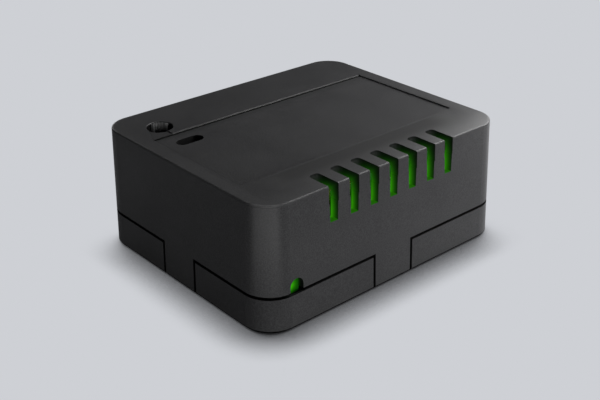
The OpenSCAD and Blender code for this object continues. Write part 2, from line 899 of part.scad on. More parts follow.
module varistor() {
    r = varistor_d / 2;
    t = varistor_t / 2;
    color("#1e56b0")
    translate([varistor_x, varistor_y, board_top]) {
        translate([0, 0, r + 0.4])
            rotate([0, 90, 0])
                rotate_extrude()
                    polygon([[0, -t], [r - 0.8, -t], [r, -t + 0.8], [r, t - 0.8], [r - 0.8, t], [0, t]]);
        for (s = [-1, 1])
            translate([0, s * varistor_pin_y, -board_t - pin_tail])
                cylinder(h = board_t + pin_tail + r / 2 + 0.6, r = lead_r, $fn = 24);
    }
}

module line_fuse() {
    color("#7c2f22")
    translate([fuse_x, fuse_y, board_top]) {
        rounded_box(fuse_l, fuse_t, fuse_h, 0.6);
        lead_pair(fuse_pin_x, 0);
    }
}

module bridge_rectifier() {
    leg_w = 0.7;
    color("#202022")
    translate([bridge_x, bridge_y, board_top]) {
        translate([0, 0, 0.15])
            centred_box(bridge_w - 1, bridge_l, bridge_h);
        for (s = [-1, 1], t = [-1, 1])
            translate([s * (bridge_w / 2 - 0.3), t * 1.3, 0])
                centred_box(leg_w, leg_w, bridge_h / 2);
    }
}

module trafo_windows() {
    window_w = (trafo_w - trafo_middle) / 2 - trafo_leg;
    for (s = [-1, 1])
        translate([s * (trafo_middle + window_w) / 2, 0, trafo_yoke])
            centred_box(window_w, trafo_d, trafo_h - 2 * trafo_yoke);
}

module transformer_core() {
    color("#3b3b3e")
    translate([trafo_x, trafo_y, board_top])
        difference() {
            centred_box(trafo_w, core_d, trafo_h);
            trafo_windows();
        }
}

module transformer_coil() {
    h = trafo_h - 2 * trafo_yoke - 2 * fine;
    flange_h = 0.8;
    foot_d = (trafo_d - core_d) / 2 - 0.15;
    color("#c9a227")
    translate([trafo_x, trafo_y, board_top])
        difference() {
            union() {
                translate([0, 0, trafo_yoke + fine]) {
                    rounded_box(coil_w, trafo_d, flange_h, 0.4);
                    rounded_box(coil_w - 0.3, trafo_d - flange_h, h, 0.9);
                }
                translate([0, 0, trafo_yoke + fine + h - flange_h])
                    rounded_box(coil_w, trafo_d, flange_h, 0.4);
                for (t = [-1, 1])
                    translate([0, t * (trafo_d - foot_d) / 2, 0])
                        centred_box(coil_w, foot_d, trafo_yoke + 0.4);
                for (t = [-1, 1])
                    translate([0, t * trafo_pin_y, 0])
                        lead_pair(trafo_pin_x, 0);
            }
            translate([0, 0, -beyond])
                centred_box(trafo_middle + 2 * fine, core_d + 2 * fine, trafo_h + 2 * beyond);
        }
}

// Relays, each drawn about the middle of its foot

module relay_place(x) {
    translate([x, relay_y, board_top])
        children();
}

function relay_pin_places() = [
    [-coil_pin_x, coil_y], [coil_pin_x, coil_y], [0, post_y + post_t / 2], [0, common_y]
];

module relay_foot_part() {
    difference() {
        rounded_box(relay_w, relay_l, relay_foot, cap_r);
        relay_pin_set();
    }
}

module relay_cap_part() {
    difference() {
        translate([0, 0, relay_foot])
            rounded_box(relay_w, relay_l, relay_h - relay_foot, cap_r);
        translate([0, 0, relay_foot - beyond])
            centred_box(relay_w - 2 * relay_wall, relay_l - 2 * relay_wall,
                relay_h - relay_foot - relay_wall + beyond);
    }
}

module relay_pin_set() {
    for (p = relay_pin_places())
        translate([p[0], p[1], -board_t - pin_tail])
            centred_box(pin_w, pin_w, board_t + pin_tail + relay_foot + 0.3);
    // Fixed contact on its post
    translate([0, post_y + post_t / 2, relay_foot])
        centred_box(2, post_t, blade_top - relay_foot);
    translate([0, post_y, tip_z])
        rotate([90, 0, 0])
            cylinder(h = 0.15, r = tip_r, $fn = 32);
}

module relay_coil_part() {
    translate([0, coil_y + fine, coil_z])
        rotate([-90, 0, 0])
            rotate_extrude()
                polygon([
                    [core_r + fine, 0], [flange_r, 0], [flange_r, 0.5], [coil_r, 0.5],
                    [coil_r, coil_l - 0.5], [flange_r, coil_l - 0.5],
                    [flange_r, coil_l], [core_r + fine, coil_l]
                ]);
}

module relay_yoke_part() {
    back = coil_y - yoke_t;
    front = pole_y + pole_t + 0.1;
    translate([-yoke_w / 2, back, relay_foot])
        cube([yoke_w, yoke_t, yoke_z + yoke_t - relay_foot]);
    translate([-yoke_w / 2, back, yoke_z])
        cube([yoke_w, front - back, yoke_t]);
    translate([0, back + fine, coil_z])
        rotate([-90, 0, 0])
            cylinder(h = pole_y - back, r = core_r, $fn = 48);
    translate([0, pole_y, coil_z])
        rotate([-90, 0, 0])
            cylinder(h = pole_t, r = pole_r, $fn = 48);
}

module relay_armature_part() {
    mid = armature_y + yoke_t / 2;
    low = coil_z - pole_r - 0.3;
    heel_z = yoke_z + yoke_t / 2;
    translate([0, mid, low])
        centred_box(yoke_w, yoke_t, heel_z - low);
    // Rounded heel that rocks on the end of the yoke
    translate([-yoke_w / 2, mid, heel_z])
        rotate([0, 90, 0])
            cylinder(h = yoke_w, r = yoke_t / 2, $fn = 32);
    translate([0, mid, yoke_z])
        centred_box(2, blade_t, blade_top - yoke_z);
    translate([0, mid, tip_z])
        rotate([-90, 0, 0])
            cylinder(h = tip_reach, r = tip_r, $fn = 32);
}

module up_relay_foot() {
    color("#2a2a2c") relay_place(up_x) relay_foot_part();
}
module up_relay_cap() {
    color("#2f63a8") relay_place(up_x) relay_cap_part();
}
module up_relay_pins() {
    color("#c9a66b") relay_place(up_x) relay_pin_set();
}
module up_relay_coil() {
    color("#b5562a") relay_place(up_x) relay_coil_part();
}
module up_relay_yoke() {
    color("#8d8f92") relay_place(up_x) relay_yoke_part();
}
module up_relay_armature() {
    color("#a7a9ac") relay_place(up_x) relay_armature_part();
}
module down_relay_foot() {
    color("#2a2a2c") relay_place(down_x) relay_foot_part();
}
module down_relay_cap() {
    color("#2f63a8") relay_place(down_x) relay_cap_part();
}
module down_relay_pins() {
    color("#c9a66b") relay_place(down_x) relay_pin_set();
}
module down_relay_coil() {
    color("#b5562a") relay_place(down_x) relay_coil_part();
}
module down_relay_yoke() {
    color("#8d8f92") relay_place(down_x) relay_yoke_part();
}
module down_relay_armature() {
    color("#a7a9ac") relay_place(down_x) relay_armature_part();
}

// Terminals, each drawn about the middle of its face at board level

module pole_place(i) {
    translate([pole_x(i), pole_face, board_top])
        children();
}

module terminal(i) {
    color("#4a4d50")
    pole_place(i) {
        difference() {
            translate([-pole_w / 2, -pole_d, 0])
                cube([pole_w, pole_d, pole_h]);
            // Spring chamber
            translate([-chamber_w / 2, -chamber_back, pole_floor])
                cube([chamber_w, chamber_back - pole_front, chamber_roof - pole_floor]);
            // Wire entry and its funnel
            translate([0, beyond, entry_z])
                rotate([90, 0, 0])
                    cylinder(h = pole_front + 2 * beyond, r = entry_r);
            translate([0, fine, entry_z])
                rotate([90, 0, 0])
                    cylinder(h = funnel_d + fine, r1 = funnel_r, r2 = entry_r);
            // Guide of the release button
            translate([0, -pole_front - beyond, button_z - button_h / 2 - button_gap])
                translate([-button_w / 2 - button_gap, 0, 0])
                    cube([button_w + 2 * button_gap, pole_front + 2 * beyond, button_h + 2 * button_gap]);
            // Way down for the solder tail
            translate([0, solder_y, -beyond])
                centred_box(solder_w + 0.1, solder_t + 0.1, pole_floor + 2 * beyond);
        }
        translate([-pole_w / 2 + pole_wall / 2, bend_y, bend_z])
            rotate([0, 90, 0])
                cylinder(h = pole_w - pole_wall, r = spring_pin_r, $fn = 32);
    }
}

module contact_bar(i) {
    color("#b87a3d")
    pole_place(i) {
        translate([-bar_w / 2, -chamber_back + 0.1, pole_floor])
            cube([bar_w, chamber_back - pole_front - 0.2, bar_t]);
        translate([0, solder_y, -board_t - pin_tail])
            centred_box(solder_w, solder_t, board_t + pin_tail + pole_floor + bar_t);
    }
}

module clamp_spring(i) {
    color("#c8cacc")
    pole_place(i)
        translate([0, bend_y, bend_z])
            rotate([0, 90, 0])
                translate([0, 0, -spring_w / 2])
                    difference() {
                        union() {
                            cylinder(h = spring_w, r = bend_r, $fn = 48);
                            // The clamping leg leaves the bend on its front side
                            rotate([0, 0, -leg_angle])
                                translate([0, leg_offset - spring_t / 2, 0])
                                    cube([leg_l, spring_t, spring_w]);
                        }
                        translate([0, 0, -beyond])
                            cylinder(h = spring_w + 2 * beyond, r = bend_r - spring_t, $fn = 48);
                    }
}

module release_button(i) {
    color("#e0701c")
    pole_place(i) {
        translate([-button_w / 2, nose_y, button_z - button_h / 2])
            difference() {
                cube([button_w, button_proud - nose_y, button_h]);
                // Groove for a screwdriver's tip
                translate([0.5, button_proud - nose_y - 0.4, button_h / 2 - 0.2])
                    cube([button_w - 1, 1, 0.4]);
            }
        translate([-button_w / 2, nose_y, button_z])
            rotate([0, 90, 0])
                cylinder(h = button_w, r = nose_r, $fn = 32);
        translate([0, -pole_front - 0.1 - head_t / 2, button_z - button_h / 2 - button_rim])
            centred_box(button_w + 2 * button_rim, head_t, button_h + 2 * button_rim);
    }
}

module terminal_1() { terminal(1); }
module terminal_2() { terminal(2); }
module terminal_3() { terminal(3); }
module terminal_4() { terminal(4); }
module terminal_5() { terminal(5); }
module terminal_6() { terminal(6); }
module contact_bar_1() { contact_bar(1); }
module contact_bar_2() { contact_bar(2); }
module contact_bar_3() { contact_bar(3); }
module contact_bar_4() { contact_bar(4); }
module contact_bar_5() { contact_bar(5); }
module contact_bar_6() { contact_bar(6); }
module clamp_spring_1() { clamp_spring(1); }
module clamp_spring_2() { clamp_spring(2); }
module clamp_spring_3() { clamp_spring(3); }
module clamp_spring_4() { clamp_spring(4); }
module clamp_spring_5() { clamp_spring(5); }
module clamp_spring_6() { clamp_spring(6); }
module release_button_1() { release_button(1); }
module release_button_2() { release_button(2); }
module release_button_3() { release_button(3); }
module release_button_4() { release_button(4); }
module release_button_5() { release_button(5); }
module release_button_6() { release_button(6); }

top_cover();
base_tray();
main_board();
radio_board();
radio_shield();
control_chip();
clock_crystal();
header_strip();
header_pins();
status_lamp();
switch_body();
switch_lid();
switch_plunger();
sensor_socket();
sensor_pins();
bulk_capacitor();
film_capacitor();
varistor();
line_fuse();
bridge_rectifier();
transformer_core();
transformer_coil();
up_relay_foot();
up_relay_cap();
up_relay_pins();
up_relay_coil();
up_relay_yoke();
up_relay_armature();
down_relay_foot();
down_relay_cap();
down_relay_pins();
down_relay_coil();
down_relay_yoke();
down_relay_armature();
terminal_1();
terminal_2();
terminal_3();
terminal_4();
terminal_5();
terminal_6();
contact_bar_1();
contact_bar_2();
contact_bar_3();
contact_bar_4();
contact_bar_5();
contact_bar_6();
clamp_spring_1();
clamp_spring_2();
clamp_spring_3();
clamp_spring_4();
clamp_spring_5();
clamp_spring_6();
release_button_1();
release_button_2();
release_button_3();
release_button_4();
release_button_5();
release_button_6();
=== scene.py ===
"""Looks of the roller shutter module: finishes, small parts, floor, lamps and camera."""
import json
import math

import bmesh
import bpy
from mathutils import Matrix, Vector


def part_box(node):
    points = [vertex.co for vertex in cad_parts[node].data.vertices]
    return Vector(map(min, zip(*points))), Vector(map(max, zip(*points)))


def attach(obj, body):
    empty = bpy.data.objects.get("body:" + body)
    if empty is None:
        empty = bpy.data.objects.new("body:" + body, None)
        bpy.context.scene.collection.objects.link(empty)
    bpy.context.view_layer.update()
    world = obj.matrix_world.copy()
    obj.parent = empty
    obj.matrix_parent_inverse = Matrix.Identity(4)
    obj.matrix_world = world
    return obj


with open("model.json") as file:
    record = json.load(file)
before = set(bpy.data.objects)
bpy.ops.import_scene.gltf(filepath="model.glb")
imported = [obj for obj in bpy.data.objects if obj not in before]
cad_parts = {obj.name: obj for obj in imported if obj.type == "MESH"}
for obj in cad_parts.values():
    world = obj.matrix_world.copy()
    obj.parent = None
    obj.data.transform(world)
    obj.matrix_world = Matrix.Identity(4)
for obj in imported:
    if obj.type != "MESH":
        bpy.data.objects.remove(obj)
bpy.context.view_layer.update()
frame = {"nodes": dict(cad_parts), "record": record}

MM = 0.001

# Case sizes in millimetres, as the frame has them
TOP_HALF_W = 22.5
TOP_HALF_D = 18.75
CORNER_R = 3.9
LEAN = 0.52
CASE_H = 18.4
WALL = 1.4
TOP_T = 1.5
SLOT_PITCH = 3.67
SLOT_COUNT = 7
SLOT_HALF_W = 0.9
SLOT_SILL_Z = 13.2
SLOT_LEN = 4.1
RECESS_FRONT_Y = -11.0
RECESS_BACK_Y = 8.95
RECESS_HALF_W = 20.1
RECESS_SINK = 0.25
RECESS_CHAMFER = 0.12
RECESS_GROOVE = 0.18
SENSOR_SLOT = (-15.95, 5.85)
SENSOR_SLOT_SIZE = (4.3, 2.0)
WELL = (-16.7, 12.25)
WELL_R = 1.9
TONGUE_W = 7.05
TONGUE_GAP = 0.25
TRAY_TOP = 5.15
NOTCH_X = -17.64
NOTCH_W = 2.2
SEAM_Z = 5.4
NOTCH_H = 1.95
BOARD_TOP = 4.6


def span(node):
    """A node's lowest and highest corners in millimetres."""
    low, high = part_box(node)
    return low / MM, high / MM


# Shader values

class Value:
    """A number, colour or vector that varies over a surface. Arithmetic adds Math nodes."""

    def __init__(self, nodes, socket):
        self.nodes = nodes
        self.socket = socket

    def math(self, operation, *others):
        """A Math node with this value first."""
        return self.nodes.node("ShaderNodeMath", {"operation": operation}, [self, *others])

    def back(self, operation, other):
        """A Math node with this value second."""
        return self.nodes.node("ShaderNodeMath", {"operation": operation}, [other, self])

    def __add__(self, other):
        return self.math("ADD", other)

    def __radd__(self, other):
        return self.back("ADD", other)

    def __sub__(self, other):
        return self.math("SUBTRACT", other)

    def __rsub__(self, other):
        return self.back("SUBTRACT", other)

    def __mul__(self, other):
        return self.math("MULTIPLY", other)

    def __rmul__(self, other):
        return self.back("MULTIPLY", other)

    def __truediv__(self, other):
        return self.math("DIVIDE", other)

    def __rtruediv__(self, other):
        return self.back("DIVIDE", other)

    def __pow__(self, other):
        return self.math("POWER", other)

    def __abs__(self):
        return self.math("ABSOLUTE")

    def least(self, other):
        """The smaller of two values."""
        return self.math("MINIMUM", other)

    def most(self, other):
        """The larger of two values."""
        return self.math("MAXIMUM", other)

    def over(self, limit):
        """1 where the value is over the limit, else 0."""
        return self.math("GREATER_THAN", limit)

    def under(self, limit):
        """1 where the value is under the limit, else 0."""
        return self.math("LESS_THAN", limit)

    def between(self, low, high):
        """1 where the value lies between two limits, else 0."""
        return self.over(low) * self.under(high)

    def nearest(self, step):
        """The nearest multiple of the step."""
        return (self / step).math("ROUND") * step

    def rise(self, low, high):
        """0 up to low, 1 from high on, and a smooth rise between."""
        settings = {"interpolation_type": "SMOOTHSTEP"}
        return self.nodes.node("ShaderNodeMapRange", settings,
                               {"Value": self, "From Min": low, "From Max": high})


class Nodes:
    """The nodes of a material or a world."""

    def __init__(self, tree):
        self.tree = tree
        self.tree.nodes.clear()

    def node(self, kind, settings, inputs, output=0):
        """Adds a node with its settings and inputs, and gives one of its outputs."""
        made = self.tree.nodes.new(kind)
        for key, value in settings.items():
            setattr(made, key, value)
        pairs = inputs.items() if isinstance(inputs, dict) else enumerate(inputs)
        for key, value in pairs:
            socket = made.inputs[key]
            if isinstance(value, Value):
                self.tree.links.new(value.socket, socket)
            else:
                socket.default_value = value
        return Value(self, made.outputs[output]) if made.outputs else None


class Finish(Nodes):
    """One material, built up from nodes. Its x, y and z are in millimetres."""

    def __init__(self, name):
        self.material = bpy.data.materials.new(name)
        self.material.use_nodes = True
        super().__init__(self.material.node_tree)
        place = self.node("ShaderNodeTexCoord", {}, {}, "Object")
        self.point = self.node("ShaderNodeVectorMath", {"operation": "SCALE"},
                               {"Vector": place, "Scale": 1 / MM})
        self.x, self.y, self.z = (self.node("ShaderNodeSeparateXYZ", {}, [self.point], axis)
                                  for axis in "XYZ")

    def noise(self, scale, detail=3.0, rough=0.55, stretch=(1, 1, 1)):
        """Cloudy noise about 0.5, with scale waves to the millimetre."""
        where = self.point
        if stretch != (1, 1, 1):
            where = self.node("ShaderNodeVectorMath", {"operation": "MULTIPLY"}, [where, stretch])
        return self.node("ShaderNodeTexNoise", {},
                         {"Vector": where, "Scale": scale, "Detail": detail, "Roughness": rough})

    def cells(self, scale, disorder=1.0, **settings):
        """How far a point lies from the middle of a cell, with scale cells to the millimetre."""
        inputs = {"Vector": self.point, "Scale": scale, "Randomness": disorder}
        return self.node("ShaderNodeTexVoronoi", settings, inputs, "Distance")

    def mix(self, share, first, second):
        """Between two colours, by a share from 0 to 1."""
        colours = [c if isinstance(c, Value) else (*c, 1) for c in (first, second)]
        return self.node("ShaderNodeMix", {"data_type": "RGBA"},
                         {0: share, 6: colours[0], 7: colours[1]}, 2)

    def bump(self, height, depth, below=None):
        """A surface normal from a height of 0 to 1, at a depth in millimetres."""
        inputs = {"Height": height, "Distance": depth * MM, "Strength": 1.0}
        if below is not None:
            inputs["Normal"] = below
        return self.node("ShaderNodeBump", {}, inputs)

    def surface(self, **sockets):
        """The Principled shader, with its sockets by name and spaces as underscores."""
        named = {}
        for key, value in sockets.items():
            if isinstance(value, tuple) and len(value) == 3:
                value = (*value, 1)
            named[key.replace("_", " ").replace("Ior", "IOR")] = value
        return self.close(self.node("ShaderNodeBsdfPrincipled", {}, named))

    def close(self, shader):
        """Puts a shader on the surface, and gives the finished material."""
        self.node("ShaderNodeOutputMaterial", {}, {"Surface": shader})
        return self.material


# Waves to the millimetre of the clouds in a plastic, the share of fine specks in its mottling, and
# how much the specks vary its roughness
CLOUDS = 0.12
SPECKS = 0.8
UNEVEN = 0.12


def fine_specks(f, scale):
    """The fine grain that a spark-eroded mould leaves, with scale waves to the millimetre."""
    return f.noise(scale, 2.0, 0.7)


def mottle(f, speck):
    """Cloudy and speckled share of the lighter of two colours."""
    return (f.noise(CLOUDS, 2.0) * (1 - SPECKS) + speck * SPECKS).rise(0.3, 0.7)


def moulded_plastic(name, dark, light, rough=0.5):
    """Moulded plastic with a fine grain."""
    f = Finish(name)
    speck = fine_specks(f, 5.0)
    return f.surface(Base_Color=f.mix(mottle(f, speck), dark, light),
                     Roughness=rough + (speck - 0.5) * UNEVEN, Normal=f.bump(speck, 0.012))


# Finishes of the case. Lengths are in millimetres

CASE_DARK = (0.0190, 0.0190, 0.0197)
CASE_LIGHT = (0.0405, 0.0405, 0.0414)
CASE_ROUGH = 0.36
CASE_GLOSS = 0.25
# Colour of painted light and highlights on the plastic, and its share where that painted light is full
PAINTED_LIGHT_COLOUR = (0.16, 0.16, 0.16)
PAINTED_LIGHT_SHARE = 0.5
# Colour painted where the plastic lies in deep shade, and the roughness that this painted shade adds
SHADED = (0.0008, 0.0008, 0.0008)
SHADED_ROUGH = 0.6
BLACK = (0, 0, 0)
# The module's green: painted glow on the case's slots and notch and on the radio board, and the lamp's own
# light
GLOW = (0.031, 0.33, 0.0)
# Waves of the moulded grain to the millimetre, and its depth
GRAIN = 5.5
GRAIN_DEPTH = 0.022
# How far a mask reaches past the edges of its face or stays clear of its neighbours
HAIR = 0.03
MARGIN = 0.05
# How high the painted shade along the foot of the case reaches, and how wide each shaded edge of the seam
# is
FOOT_LINE = 0.42
SEAM_EDGE = 0.11
# Where round a corner its painted highlight starts and is full, and its strength low down and near the top
HIGHLIGHT_BEND = (0.2, 0.5)
HIGHLIGHT_LOW = 0.07
HIGHLIGHT_HIGH = 0.34
# From which height the painted highlight gets stronger, and where it is full
HIGHLIGHT_HEIGHTS = (3.0, 17.0)
# Painted green glow on the slots' walls: low down, high up, at the outer edge, on the sill, and how
# much of it is lost towards the slots' back ends. Then the painted glow on the notch's walls
LIGHT_LOW = 0.85
LIGHT_HIGH = 0.13
LIGHT_AT_EDGE = 0.06
LIGHT_ON_SILL = 0.35
LIGHT_LOSS = 0.75
LIGHT_IN_NOTCH = 0.15
# How much sooner a slot's wall lies deep below the top than behind the front
DEEP_BELOW_TOP = 1.25
# How much painted shade darkens the walls of slots and notch, where the studio's light hardly reaches,
# and how much less at the slots' back ends
HIDDEN_SHADE = 0.9
LESS_HIDDEN_SHADE = 0.75
# Painted shade: how much darker the recess's chamfer is, its floor beside its walls, and the way to the
# well
CHAMFER_SHADE = 0.5
FLOOR_SHADE = 0.5
WAY_SHADE = 0.4
# Painted shade in the crease behind the front strip and painted light on the rims of the top: how much
# darker and how much lighter
CREASE_SHADE = 0.7
RIM_PAINTED_LIGHT = 0.35
# Fall of the top's crowned front strip, by the third power of the way to the front
CROWN = 0.0006
# How deep the well's rim lies below the top
WELL_RIM = 0.14
# Across the well, from -1 to 1 along this direction: where painted light falls on its wall and where its
# rib lies, with a painted highlight
RIB_SIDE = (0.743, -0.669)
WELL_PAINTED_LIGHT = (-0.85, -0.6, 0.5)
RIB_SPAN = (0.3, 0.48)
RIB_HIGHLIGHT = 1.6


def below_sides(f):
    """How deep a point lies below the case's leaning, round-cornered sides."""
    aside = (abs(f.x) - (TOP_HALF_W - CORNER_R)).most(0)
    along = (abs(f.y) - (TOP_HALF_D - CORNER_R)).most(0)
    return CORNER_R + LEAN * (1 - f.z / CASE_H) - (aside * aside + along * along) ** 0.5


def beside_tongue(f):
    """How far a point of a side lies from that side's middle, where its tongue is."""
    return abs(f.x).least(abs(f.y))


def corner_painted_highlight(f, skin):
    """Painted highlight on the upright corners: most near the top, and not on the flat sides."""
    aside = abs(f.x) - (TOP_HALF_W - CORNER_R)
    along = abs(f.y) - (TOP_HALF_D - CORNER_R)
    bend = (aside.least(along) / CORNER_R).rise(*HIGHLIGHT_BEND)
    return bend * skin.under(0.35) * (HIGHLIGHT_LOW + HIGHLIGHT_HIGH * f.z.rise(*HIGHLIGHT_HEIGHTS))


def well_shades(f, under_top):
    """The button well's wall: where it is, where painted light falls on it, and the painted highlight on
    its guide rib.
    """
    x, y = f.x - WELL[0], f.y - WELL[1]
    in_well = (x * x + y * y).under((WELL_R + 0.2) ** 2) * under_top.over(WELL_RIM)
    across = (x * RIB_SIDE[0] + y * RIB_SIDE[1]) / WELL_R
    light = in_well * across.rise(*WELL_PAINTED_LIGHT[:2]) * across.under(WELL_PAINTED_LIGHT[2])
    return in_well, light, in_well * across.between(*RIB_SPAN) * RIB_HIGHLIGHT


def slot_walls(f, front, under_top):
    """The air slots' walls, and how deep in the wall a point of them lies."""
    aside = abs(f.x - f.x.nearest(SLOT_PITCH))
    deep = front.least(under_top * DEEP_BELOW_TOP)
    in_wall = front.under(WALL - 0.02).most(under_top.under(TOP_T - 0.02))
    walls = (aside.under(SLOT_HALF_W + MARGIN) * abs(f.x).under(SLOT_PITCH * SLOT_COUNT / 2)
             * f.z.over(SLOT_SILL_Z - HAIR) * front.under(SLOT_LEN + 0.1) * deep.over(HAIR) * in_wall)
    return walls, deep


def slot_painted_glow(f, walls, deep, front):
    """Painted green glow on the slots' walls: strongest deep in the wall and low down."""
    spread = (deep / WALL).least(1).most(0) ** 2 * (1 - LIGHT_AT_EDGE) + LIGHT_AT_EDGE
    sill = f.z.under(SLOT_SILL_Z + 0.04) * LIGHT_ON_SILL
    upward = f.z.rise(SLOT_SILL_Z + 0.6, CASE_H - 0.6) * (LIGHT_HIGH - LIGHT_LOW) + LIGHT_LOW
    backward = 1 - LIGHT_LOSS * front.rise(WALL, SLOT_LEN)
    return walls * spread.most(sill) * upward * backward


def notch_walls(f, front):
    """The walls of the lamp's notch."""
    return (abs(f.x - NOTCH_X).under(NOTCH_W / 2 + MARGIN) * front.between(HAIR, WALL - 0.02)
            * f.z.between(SEAM_Z - 0.02, SEAM_Z + NOTCH_H + MARGIN))


def seam_painted_shade(f, skin):
    """Painted shade in the seam's groove and along its edges, and on the foot of the tongues."""
    groove = f.z.under(SEAM_Z + 0.02) * skin.over(HAIR)
    edges = (f.z.under(SEAM_Z + SEAM_EDGE) * beside_tongue(f).over(TONGUE_W / 2 - SEAM_EDGE)
             * skin.under(0.5))
    foot = f.z.under(FOOT_LINE) * skin.under(0.4)
    return groove.most(edges).most(foot)


def recess_painted_shade(f, under_top):
    """Painted shade in the recess: dark in its fine groove and in the oval slot, and softer painted shade
    as a share.
    """
    behind = f.y - RECESS_BACK_Y
    by_wall = under_top.under(0.6) * abs(f.x).under(RECESS_HALF_W + 0.1)
    groove = (by_wall * behind.between(-RECESS_GROOVE - 0.02, 0.01)
              * under_top.over(RECESS_CHAMFER + 0.01))
    chamfer = (by_wall * behind.between(0.004, RECESS_CHAMFER + 0.01)
               * under_top.between(0.003, RECESS_CHAMFER + 0.01))
    oval = (abs(f.x - SENSOR_SLOT[0]).under(SENSOR_SLOT_SIZE[0] / 2 + MARGIN)
            * abs(f.y - SENSOR_SLOT[1]).under(SENSOR_SLOT_SIZE[1] / 2 + MARGIN)
            * under_top.over(RECESS_SINK + HAIR))
    floor_z = CASE_H - RECESS_SINK
    on_floor = f.z.between(floor_z - HAIR, floor_z + HAIR) * f.y.under(RECESS_BACK_Y)
    near_back = 1 - (RECESS_BACK_Y - f.y).rise(-0.6, 3.0)
    near_left = 1 - (f.x + RECESS_HALF_W).rise(0.0, 1.0)
    # The shallow way between the well and the recess
    on_way = behind.over(0.02) * under_top.between(0.1, 0.15)
    soft = ((1 - chamfer * CHAMFER_SHADE) * (1 - on_floor * near_back.most(near_left) * FLOOR_SHADE)
            * (1 - on_way * WAY_SHADE))
    return groove.most(oval), soft


def top_strips(f, under_top):
    """The top's crowned front strip and its sides: their height, the painted shade of their crease and the
    painted light on them.
    """
    on_top = under_top.under(0.3)
    ahead = (RECESS_FRONT_Y - f.y).most(0)
    crown = ahead * ahead * ahead * -CROWN
    crease_painted_shade = (ahead.rise(0.0, 0.7) * (1 - ahead.rise(2.0, 6.5) * 0.9) * on_top
              * (1 - abs(f.x).rise(13.0, 20.0)) * CREASE_SHADE)
    beside = abs(f.x).rise(RECESS_HALF_W, RECESS_HALF_W + 0.8) * (1 - f.y.rise(-4.0, 14.0))
    return crown, crease_painted_shade, on_top * ahead.rise(2.5, 7.5).most(beside) * RIM_PAINTED_LIGHT


def case_surface(f, shade, crown=None, rim_painted_light=0.0, painted_light=0.0, **more):
    """The case's grained charcoal, darkened and dull by painted shade where the shade is under 1, and
    lighter by painted light.
    """
    speck = fine_specks(f, GRAIN)
    colour = f.mix(mottle(f, speck) + rim_painted_light, CASE_DARK, CASE_LIGHT)
    colour = f.mix(painted_light * PAINTED_LIGHT_SHARE, colour, PAINTED_LIGHT_COLOUR)
    normal = f.bump(crown, 1.0) if crown is not None else None
    return f.surface(Base_Color=f.mix(shade, SHADED, colour),
                     Roughness=CASE_ROUGH + (speck - 0.5) * UNEVEN + (1 - shade) * SHADED_ROUGH,
                     Specular_Ior_Level=CASE_GLOSS,
                     Normal=f.bump(speck, GRAIN_DEPTH, normal), **more)


def cover_finish():
    """Charcoal cover, with a painted green glow on the walls of its slots and notch, and painted light and
    shade on its top, well, seams and corners.
    """
    f = Finish("case_plastic")
    skin = below_sides(f)
    under_top = CASE_H - f.z
    front = f.y + TOP_HALF_D + LEAN * under_top / CASE_H
    in_slots, deep = slot_walls(f, front, under_top)
    in_notch = notch_walls(f, front)
    # Painted green glow on the walls of slots and notch, given as emission
    notch_painted_glow = in_notch * front.rise(0.5, WALL + 0.3) * LIGHT_IN_NOTCH
    light = slot_painted_glow(f, in_slots, deep, front) + notch_painted_glow
    # Painted shade on the walls of slots and notch
    wall_painted_shade = in_slots * (HIDDEN_SHADE - LESS_HIDDEN_SHADE * front.rise(2.6, SLOT_LEN)) + in_notch * HIDDEN_SHADE
    in_well, well_painted_light, rib_painted_highlight = well_shades(f, under_top)
    recess_painted_dark, recess_soft_shade = recess_painted_shade(f, under_top)
    crown, crease_painted_shade, rim_painted_light = top_strips(f, under_top)
    # Painted shade: the seam's groove, edges and foot, the recess's groove and oval slot, and the unlit
    # part of the well's wall
    dark = seam_painted_shade(f, skin).most(recess_painted_dark).most(in_well - well_painted_light)
    shade = (1 - dark) * recess_soft_shade * (1 - crease_painted_shade) * (1 - wall_painted_shade)
    # Painted light: the lit part of the well's wall, a highlight on its rib and highlights on the upright
    # corners
    painted_light = well_painted_light + rib_painted_highlight + corner_painted_highlight(f, skin)
    return case_surface(f, shade, crown, rim_painted_light, painted_light,
                        Emission_Color=f.mix(light, BLACK, GLOW), Emission_Strength=1.0)


def tray_finish():
    """The same charcoal on the tray, with painted shade on its bevelled foot, its ledge under the seam and
    in its grooves.
    """
    f = Finish("tray_plastic")
    skin = below_sides(f)
    outer = skin.under(1.5)
    off_floor = f.z.over(0.01)
    # Painted shade: the ledge under the seam, the bevelled foot, the tongues' notches and their edges
    ledge = f.z.between(TRAY_TOP - SEAM_EDGE, TRAY_TOP + 0.4) * outer
    foot = f.z.under(FOOT_LINE) * off_floor * skin.under(0.45)
    notches = skin.over(HAIR) * off_floor * outer
    edges = beside_tongue(f).under(TONGUE_W / 2 + TONGUE_GAP + SEAM_EDGE) * off_floor * outer
    return case_surface(f, 1 - ledge.most(foot).most(notches).most(edges))


# The lamp's brightest light, how much painted shade dims it upwards, and how much of it painted shade
# leaves at its foot
LAMP_LIGHT = 1.25
LAMP_FADE = 0.8
LAMP_FOOT = 0.15


def lamp_finish():
    """Clear green epoxy, lit from within, with painted shade that dims it towards its top, its right and
    its foot.
    """
    f = Finish("lamp_lens")
    aside = 1 - ((f.x - NOTCH_X + 0.3) / 1.4).most(0).least(1)
    above = (f.z - SEAM_Z).rise(0.5, 1.8)
    low = (f.z - SEAM_Z).rise(-0.4, 0.6)
    light = aside * aside * LAMP_LIGHT * (1 - above * LAMP_FADE) * (LAMP_FOOT + low * (1 - LAMP_FOOT))
    return f.surface(Base_Color=(0.004, 0.06, 0.001), Roughness=0.5, Specular_Ior_Level=0.1,
                     Emission_Color=f.mix(light, (0.0, 0.006, 0.0), GLOW), Emission_Strength=1.0)


# Finishes of the parts inside

